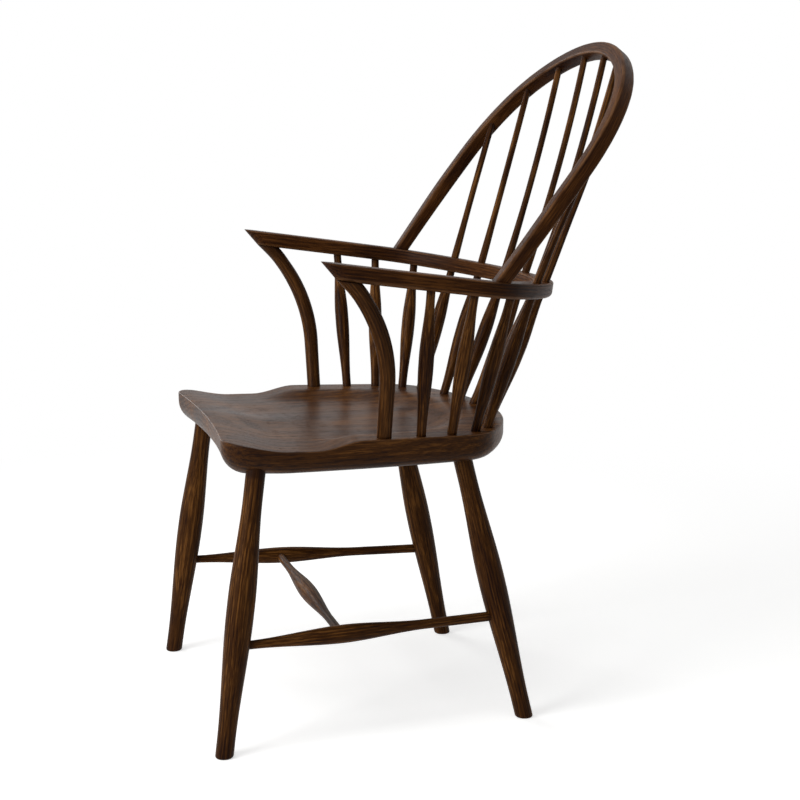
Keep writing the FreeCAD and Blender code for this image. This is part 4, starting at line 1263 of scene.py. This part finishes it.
class Graph:
    """Adds nodes to one node tree and joins them."""

    def __init__(self, tree: bpy.types.NodeTree) -> None:
        """Start with an empty tree."""
        self.tree = tree
        tree.nodes.clear()

    def add(self, kind: str, inputs: dict | None = None, **settings: object) -> bpy.types.Node:
        """Add a node.

        Args:
            kind: its type.
            inputs: a number or colour, or another node's output, for each named input.
            settings: its own properties.

        Returns:
            The node.
        """
        node = self.tree.nodes.new(kind)
        for name, value in settings.items():
            setattr(node, name, value)
        for name, value in (inputs or {}).items():
            if isinstance(value, bpy.types.NodeSocket):
                self.tree.links.new(value, node.inputs[name])
            else:
                node.inputs[name].default_value = value
        return node

    def math(self, operation: str, first: object, second: object = 0.0) -> bpy.types.NodeSocket:
        """Result of a sum on two values."""
        return self.add("ShaderNodeMath", {0: first, 1: second}, operation=operation).outputs[0]

    def between(self, value: bpy.types.NodeSocket, low: float, high: float, to_low: float = 0.0,
                to_high: float = 1.0) -> bpy.types.NodeSocket:
        """A value's place between two numbers, softly clamped."""
        node = self.add("ShaderNodeMapRange", {"Value": value, "From Min": low, "From Max": high,
                                               "To Min": to_low, "To Max": to_high},
                        interpolation_type="SMOOTHSTEP")
        return node.outputs["Result"]

    def noise(self, place: bpy.types.NodeSocket, look: NoiseLook) -> bpy.types.Node:
        """Noise drawn out along the grain."""
        mapping = self.add("ShaderNodeMapping", {"Vector": place, "Scale": (1.0, 1.0, look.stretch)})
        return self.add("ShaderNodeTexNoise", {"Vector": mapping.outputs[0], "Scale": look.scale,
                                               "Detail": look.detail})

    def shifted(self, place: bpy.types.NodeSocket, shift: object) -> bpy.types.NodeSocket:
        """Place with a shift added."""
        return self.add("ShaderNodeVectorMath", {0: place, 1: shift}, operation="ADD").outputs[0]

    def mix(self, share: object, first: object, second: object) -> bpy.types.NodeSocket:
        """Mixture of two colours."""
        node = self.add("ShaderNodeMix", {MIX_SHARE: share, MIX_FIRST: first, MIX_SECOND: second},
                        data_type="RGBA")
        return node.outputs[MIX_RESULT]


def opaque(colour: Colour) -> tuple[float, float, float, float]:
    """Colour with full cover, as sockets want it."""
    return (*colour, 1.0)


@dataclass(frozen=True)
class OakFinish:
    """Stained and waxed oak of one material slot.

    The colours are of the pores and dark bands, the plain wood, the light bands and the places
    where use has rubbed the stain off; the dark one also paints joint lines with shade beside them. Spacings
    and sizes are of the growth rings and streaks.
    """

    slot: Slot
    dark: Colour = (0.013, 0.0034, 0.0012)
    plain: Colour = (0.052, 0.018, 0.0035)
    light: Colour = (0.14, 0.054, 0.012)
    worn: Colour = (0.24, 0.115, 0.05)
    ring_spacing: float = 0.0045
    streak_width: float = 0.0028
    figure: float = 0.16
    streakiness: float = 0.3
    worn_share: float = 0.5
    roughness: float = 0.42
    roughness_spread: float = 0.16
    gloss: float = 0.04
    coat: float = 0.02
    coat_roughness: float = 0.3
    bump: float = 0.35
    bump_depth: float = 0.0004


FINISHES = {
    Slot.SEAT: OakFinish(Slot.SEAT, ring_spacing=0.009, streak_width=0.005, figure=0.12, streakiness=0.26,
                         roughness=0.36, roughness_spread=0.12, gloss=0.06),
    Slot.BENT: OakFinish(Slot.BENT, plain=(0.042, 0.0135, 0.003), light=(0.105, 0.038, 0.009),
                         streakiness=0.22),
    Slot.SUPPORT: OakFinish(Slot.SUPPORT, plain=(0.042, 0.015, 0.0032), light=(0.105, 0.041, 0.010)),
    Slot.TURNED: OakFinish(Slot.TURNED, light=(0.155, 0.062, 0.014)),
}


class Finisher:
    """Builds the shared effects once and a material for each slot."""

    def __init__(self) -> None:
        """Build the node groups and the materials."""
        self.grain = self.oak_grain()
        self.wear = self.edge_wear()
        self.materials = {slot: self.oak(finish) for slot, finish in FINISHES.items()}

    @staticmethod
    def group(name: str, inputs: dict[str, str], outputs: dict[str, str]) -> tuple:
        """Empty node group with named sockets.

        Args:
            name: the group's name.
            inputs: socket types by name.
            outputs: socket types by name.

        Returns:
            The group, its graph, its input node and its output node.
        """
        tree = bpy.data.node_groups.new(name, "ShaderNodeTree")
        for in_out, sockets in (("INPUT", inputs), ("OUTPUT", outputs)):
            for socket_name, kind in sockets.items():
                tree.interface.new_socket(name=socket_name, in_out=in_out, socket_type=kind)
        graph = Graph(tree)
        return tree, graph, graph.add("NodeGroupInput"), graph.add("NodeGroupOutput")

    @staticmethod
    def weighed(graph: Graph, value: bpy.types.NodeSocket, weight: object) -> bpy.types.NodeSocket:
        """A value from 0 to 1 as a weighed swing about nought."""
        return graph.math("MULTIPLY", graph.math("SUBTRACT", value, 0.5), weight)

    def oak_grain(self) -> bpy.types.NodeTree:
        """Growth rings, streaks, blotches and pores of open-grained oak."""
        tree, graph, given, result = self.group(
            "Oak grain", {"Place": "NodeSocketVector", "Ring Scale": "NodeSocketFloat",
                          "Streak Scale": "NodeSocketFloat", "Figure": "NodeSocketFloat",
                          "Streakiness": "NodeSocketFloat"},
            {"Stain": "NodeSocketFloat", "Pores": "NodeSocketFloat", "Blotches": "NodeSocketFloat",
             "Height": "NodeSocketFloat"})
        place = given.outputs["Place"]
        wander = graph.noise(place, GRAIN.wander)
        centred = graph.add("ShaderNodeVectorMath", {0: wander.outputs["Color"], 1: (0.5, 0.5, 0.5)},
                            operation="SUBTRACT")
        wandering = graph.add("ShaderNodeVectorMath", {0: centred.outputs[0], "Scale": GRAIN.wander_reach},
                              operation="SCALE")
        flattened = graph.add("ShaderNodeMapping", {"Vector": graph.shifted(place, wandering.outputs[0]),
                                                    "Scale": (1.0, 1.0, GRAIN.ring_stretch)})
        rings = graph.add("ShaderNodeTexWave", {"Vector": flattened.outputs[0],
                                                "Scale": given.outputs["Ring Scale"]},
                          wave_type="RINGS", rings_direction="Z", wave_profile="SIN").outputs["Fac"]
        streaks = graph.noise(graph.shifted(place, GRAIN.streak_shift), GRAIN.streaks)
        graph.tree.links.new(given.outputs["Streak Scale"], streaks.inputs["Scale"])
        fibres, blotches, pores = (graph.noise(place, look).outputs["Fac"]
                                   for look in (GRAIN.fibres, GRAIN.blotches, GRAIN.pores))
        parts = [self.weighed(graph, graph.between(value, *band), weight) for value, band, weight in (
            (rings, GRAIN.ring_band, given.outputs["Figure"]),
            (streaks.outputs["Fac"], GRAIN.streak_band, given.outputs["Streakiness"]),
            (fibres, GRAIN.fibre_band, GRAIN.fibre_weight),
            (blotches, GRAIN.blotch_band, GRAIN.blotch_weight))]
        stain = graph.math("ADD", graph.math("ADD", parts[0], parts[1]),
                           graph.math("ADD", parts[2], parts[3]))
        stain = graph.math("ADD", stain, 0.5)
        early = graph.between(rings, *GRAIN.early_band)
        pore_mask = graph.math("MULTIPLY", graph.between(pores, *GRAIN.pore_band), early)
        height = graph.math("SUBTRACT", graph.math("MULTIPLY", fibres, GRAIN.fibre_height), pore_mask)
        for name, value in (("Stain", stain), ("Pores", pore_mask), ("Height", height),
                            ("Blotches", blotches)):
            graph.tree.links.new(value, result.inputs[name])
        return tree

    def edge_wear(self) -> bpy.types.NodeTree:
        """Rubbed edges: the wear kept on the mesh, broken up along its way."""
        tree, graph, given, result = self.group(
            "Edge wear",
            {"Edge": "NodeSocketFloat", "Place": "NodeSocketVector", "Amount": "NodeSocketFloat"},
            {"Worn": "NodeSocketFloat"})
        patches = graph.noise(given.outputs["Place"], GRAIN.patches)
        patchy = graph.between(patches.outputs["Fac"], *GRAIN.patch_band)
        edge = graph.math("POWER", given.outputs["Edge"], GRAIN.wear_power)
        rubbed = graph.math("MULTIPLY", edge, patchy)
        worn = graph.math("MULTIPLY", rubbed, given.outputs["Amount"])
        graph.tree.links.new(worn, result.inputs["Worn"])
        return tree

    def oak(self, finish: OakFinish) -> bpy.types.Material:
        """Material of one slot."""
        material = bpy.data.materials.new(f"stained_oak_{finish.slot.value}")
        material.use_nodes = True
        graph = Graph(material.node_tree)
        place = graph.add("ShaderNodeAttribute", attribute_name="grain_place").outputs["Vector"]
        edge, joint = (graph.add("ShaderNodeAttribute", attribute_name=name).outputs["Fac"]
                       for name in ("edge_wear", "joint_line_and_shade"))
        grain = graph.add("ShaderNodeGroup", {
            "Place": place, "Ring Scale": WAVE_SPACING / finish.ring_spacing,
            "Streak Scale": 1 / finish.streak_width, "Figure": finish.figure,
            "Streakiness": finish.streakiness}, node_tree=self.grain)
        wear = graph.add("ShaderNodeGroup", {"Place": place, "Edge": edge, "Amount": finish.worn_share},
                         node_tree=self.wear)
        stain, pores = grain.outputs["Stain"], grain.outputs["Pores"]
        low = graph.mix(graph.between(stain, *GRAIN.dark_band), opaque(finish.dark), opaque(finish.plain))
        bands = graph.mix(graph.between(stain, *GRAIN.light_band), low, opaque(finish.light))
        pored = graph.mix(graph.math("MULTIPLY", pores, GRAIN.pore_cover), bands, opaque(finish.dark))
        rubbed = graph.mix(wear.outputs["Worn"], pored, opaque(finish.worn))
        # Painted shade: beside joints the colour is drawn towards the dark of the pores, a dark joint line
        # with painted shade.
        shaded = graph.mix(graph.math("MULTIPLY", joint, GRAIN.joint_line_and_shade_cover), rubbed, opaque(finish.dark))
        spread = graph.math("MULTIPLY", grain.outputs["Blotches"], finish.roughness_spread)
        waxed = graph.math("ADD", spread, finish.roughness - finish.roughness_spread / 2)
        roughness = graph.math("ADD", waxed, graph.math("MULTIPLY", pores, GRAIN.pore_roughness))
        bump = graph.add("ShaderNodeBump", {"Height": grain.outputs["Height"], "Strength": finish.bump,
                                            "Distance": finish.bump_depth})
        shader = graph.add("ShaderNodeBsdfPrincipled", {
            "Base Color": shaded, "Roughness": roughness, "Normal": bump.outputs["Normal"],
            "Specular IOR Level": finish.gloss, "Coat Weight": finish.coat,
            "Coat Roughness": finish.coat_roughness})
        graph.add("ShaderNodeOutputMaterial", {"Surface": shader.outputs["BSDF"]})
        return material

    def dress(self, piece: bpy.types.Object, slot: Slot) -> None:
        """Give a piece its slot's material."""
        piece.data.materials.clear()
        piece.data.materials.append(self.materials[slot])


@dataclass(frozen=True)
class Lamp:
    """Soft square lamp that looks at the chair."""

    name: str
    place: tuple[float, float, float]
    width: float
    power: float


@dataclass
class Studio:
    """Pale floor, soft lamps, white surround and the camera of the photograph."""

    camera_place: tuple[float, float, float] = (2.62896, -0.64272, 0.98161)
    camera_yaw: float = 15.83
    camera_fall: float = 10.40
    focal_pixels: float = 1692.92
    frame_pixels: float = 800.0
    sensor: float = 36.0
    floor_size: float = 14.0
    floor_colour: Colour = (0.8, 0.8, 0.79)
    floor_glow: float = 0.6
    floor_fade: tuple[float, float] = (0.8, 2.0)
    surround: float = 0.1
    aim: tuple[float, float, float] = (0.0, 0.0, 0.5)
    lamps: tuple[Lamp, ...] = (
        Lamp("front_lamp", (1.3, -3.3, 1.7), 1.8, 85.0),
        Lamp("top_lamp", (0.4, -0.8, 3.3), 2.2, 40.0),
        Lamp("far_lamp", (-3.0, -1.6, 1.6), 1.6, 40.0),
    )

    def camera(self) -> None:
        """Set the camera where the photograph was taken from."""
        data = bpy.data.cameras.new("photo_camera")
        data.sensor_width = self.sensor
        data.lens = self.sensor * self.focal_pixels / self.frame_pixels
        camera = bpy.data.objects.new("photo_camera", data)
        bpy.context.scene.collection.objects.link(camera)
        yaw, fall = math.radians(self.camera_yaw), math.radians(self.camera_fall)
        ahead = Vector((-math.cos(yaw) * math.cos(fall), math.sin(yaw) * math.cos(fall), -math.sin(fall)))
        camera.location = Vector(self.camera_place) + TO_FRAME
        camera.rotation_mode = "QUATERNION"
        camera.rotation_quaternion = ahead.to_track_quat("-Z", "Y")
        bpy.context.scene.camera = camera

    def seen_white(self, graph: Graph) -> bpy.types.NodeSocket:
        """1 for rays from the camera, off gloss or through glass, and 0 for the rest."""
        path = graph.add("ShaderNodeLightPath")
        either = graph.math("MAXIMUM", path.outputs["Is Camera Ray"], path.outputs["Is Glossy Ray"])
        return graph.math("MAXIMUM", either, path.outputs["Is Transmission Ray"])

    def world(self) -> None:
        """White surround that lights the chair softly."""
        world = bpy.data.worlds.new("white_surround")
        world.use_nodes = True
        graph = Graph(world.node_tree)
        strength = graph.between(self.seen_white(graph), 0.0, 1.0, self.surround, 1.0)
        glow = graph.add("ShaderNodeBackground", {"Color": opaque(WHITE), "Strength": strength})
        graph.add("ShaderNodeOutputWorld", {"Surface": glow.outputs["Background"]})
        bpy.context.scene.world = world

    def floor(self) -> None:
        """Plain pale floor, which keeps the chair's shadow."""
        leave_edit_mode()
        bpy.ops.mesh.primitive_plane_add(size=self.floor_size, location=(0, 0, 0))
        floor = bpy.context.object
        floor.name = floor.data.name = "pale_floor"
        material = bpy.data.materials.new("pale_floor")
        material.use_nodes = True
        graph = Graph(material.node_tree)
        matt = graph.add("ShaderNodeBsdfDiffuse", {"Color": opaque(self.floor_colour)})
        lift = graph.math("MULTIPLY", self.seen_white(graph), self.floor_glow)
        glow = graph.add("ShaderNodeEmission", {"Color": opaque(WHITE), "Strength": lift})
        both = graph.add("ShaderNodeAddShader", {0: matt.outputs[0], 1: glow.outputs[0]})
        white = graph.add("ShaderNodeEmission", {"Color": opaque(WHITE), "Strength": 1.0})
        place = graph.add("ShaderNodeTexCoord").outputs["Object"]
        distance = graph.add("ShaderNodeVectorMath", {0: place}, operation="LENGTH").outputs["Value"]
        far = graph.between(distance, *self.floor_fade)
        share = graph.math("MULTIPLY", far, self.seen_white(graph))
        faded = graph.add("ShaderNodeMixShader", {0: share, 1: both.outputs[0], 2: white.outputs[0]})
        graph.add("ShaderNodeOutputMaterial", {"Surface": faded.outputs[0]})
        floor.data.materials.append(material)
        floor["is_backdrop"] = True

    def lights(self) -> None:
        """Hang the soft lamps."""
        for lamp in self.lamps:
            data = bpy.data.lights.new(lamp.name, "AREA")
            data.size = lamp.width
            data.energy = lamp.power
            light = bpy.data.objects.new(lamp.name, data)
            bpy.context.scene.collection.objects.link(light)
            light.location = Vector(lamp.place)
            light.rotation_mode = "QUATERNION"
            light.rotation_quaternion = (Vector(self.aim) - light.location).to_track_quat("-Z", "Y")

    def build(self) -> None:
        """Set up the whole studio."""
        bpy.context.scene.view_settings.view_transform = "Standard"
        self.camera()
        self.world()
        self.floor()
        self.lights()
        log.info("studio: %d lamps", len(self.lamps))


def write_sizes() -> None:
    """Work out the box of the solids and the box of the dressed chair."""
    boxes = {"cad": CAD_BOX, "visual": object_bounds()}
    plain = {name: [list(low), list(high)] for name, (low, high) in boxes.items()}


def main() -> None:
    """Build the studio and the chair, piece by piece."""
    logging.basicConfig(level=logging.INFO, format="%(name)s: %(message)s")
    Studio().build()
    wood = Woodwork(Finisher().dress)
    seat = Seat()
    arm_bow = ArmBow()
    hoop = Hoop(arm_bow)
    legs = Legs(seat)
    for assembly in (seat, arm_bow, hoop, ArmSupports(seat, arm_bow), legs, Stretchers(legs),
                     Spindles(seat, arm_bow, hoop)):
        assembly.build(wood)
    write_sizes()


if __name__ == "__main__":
    main()
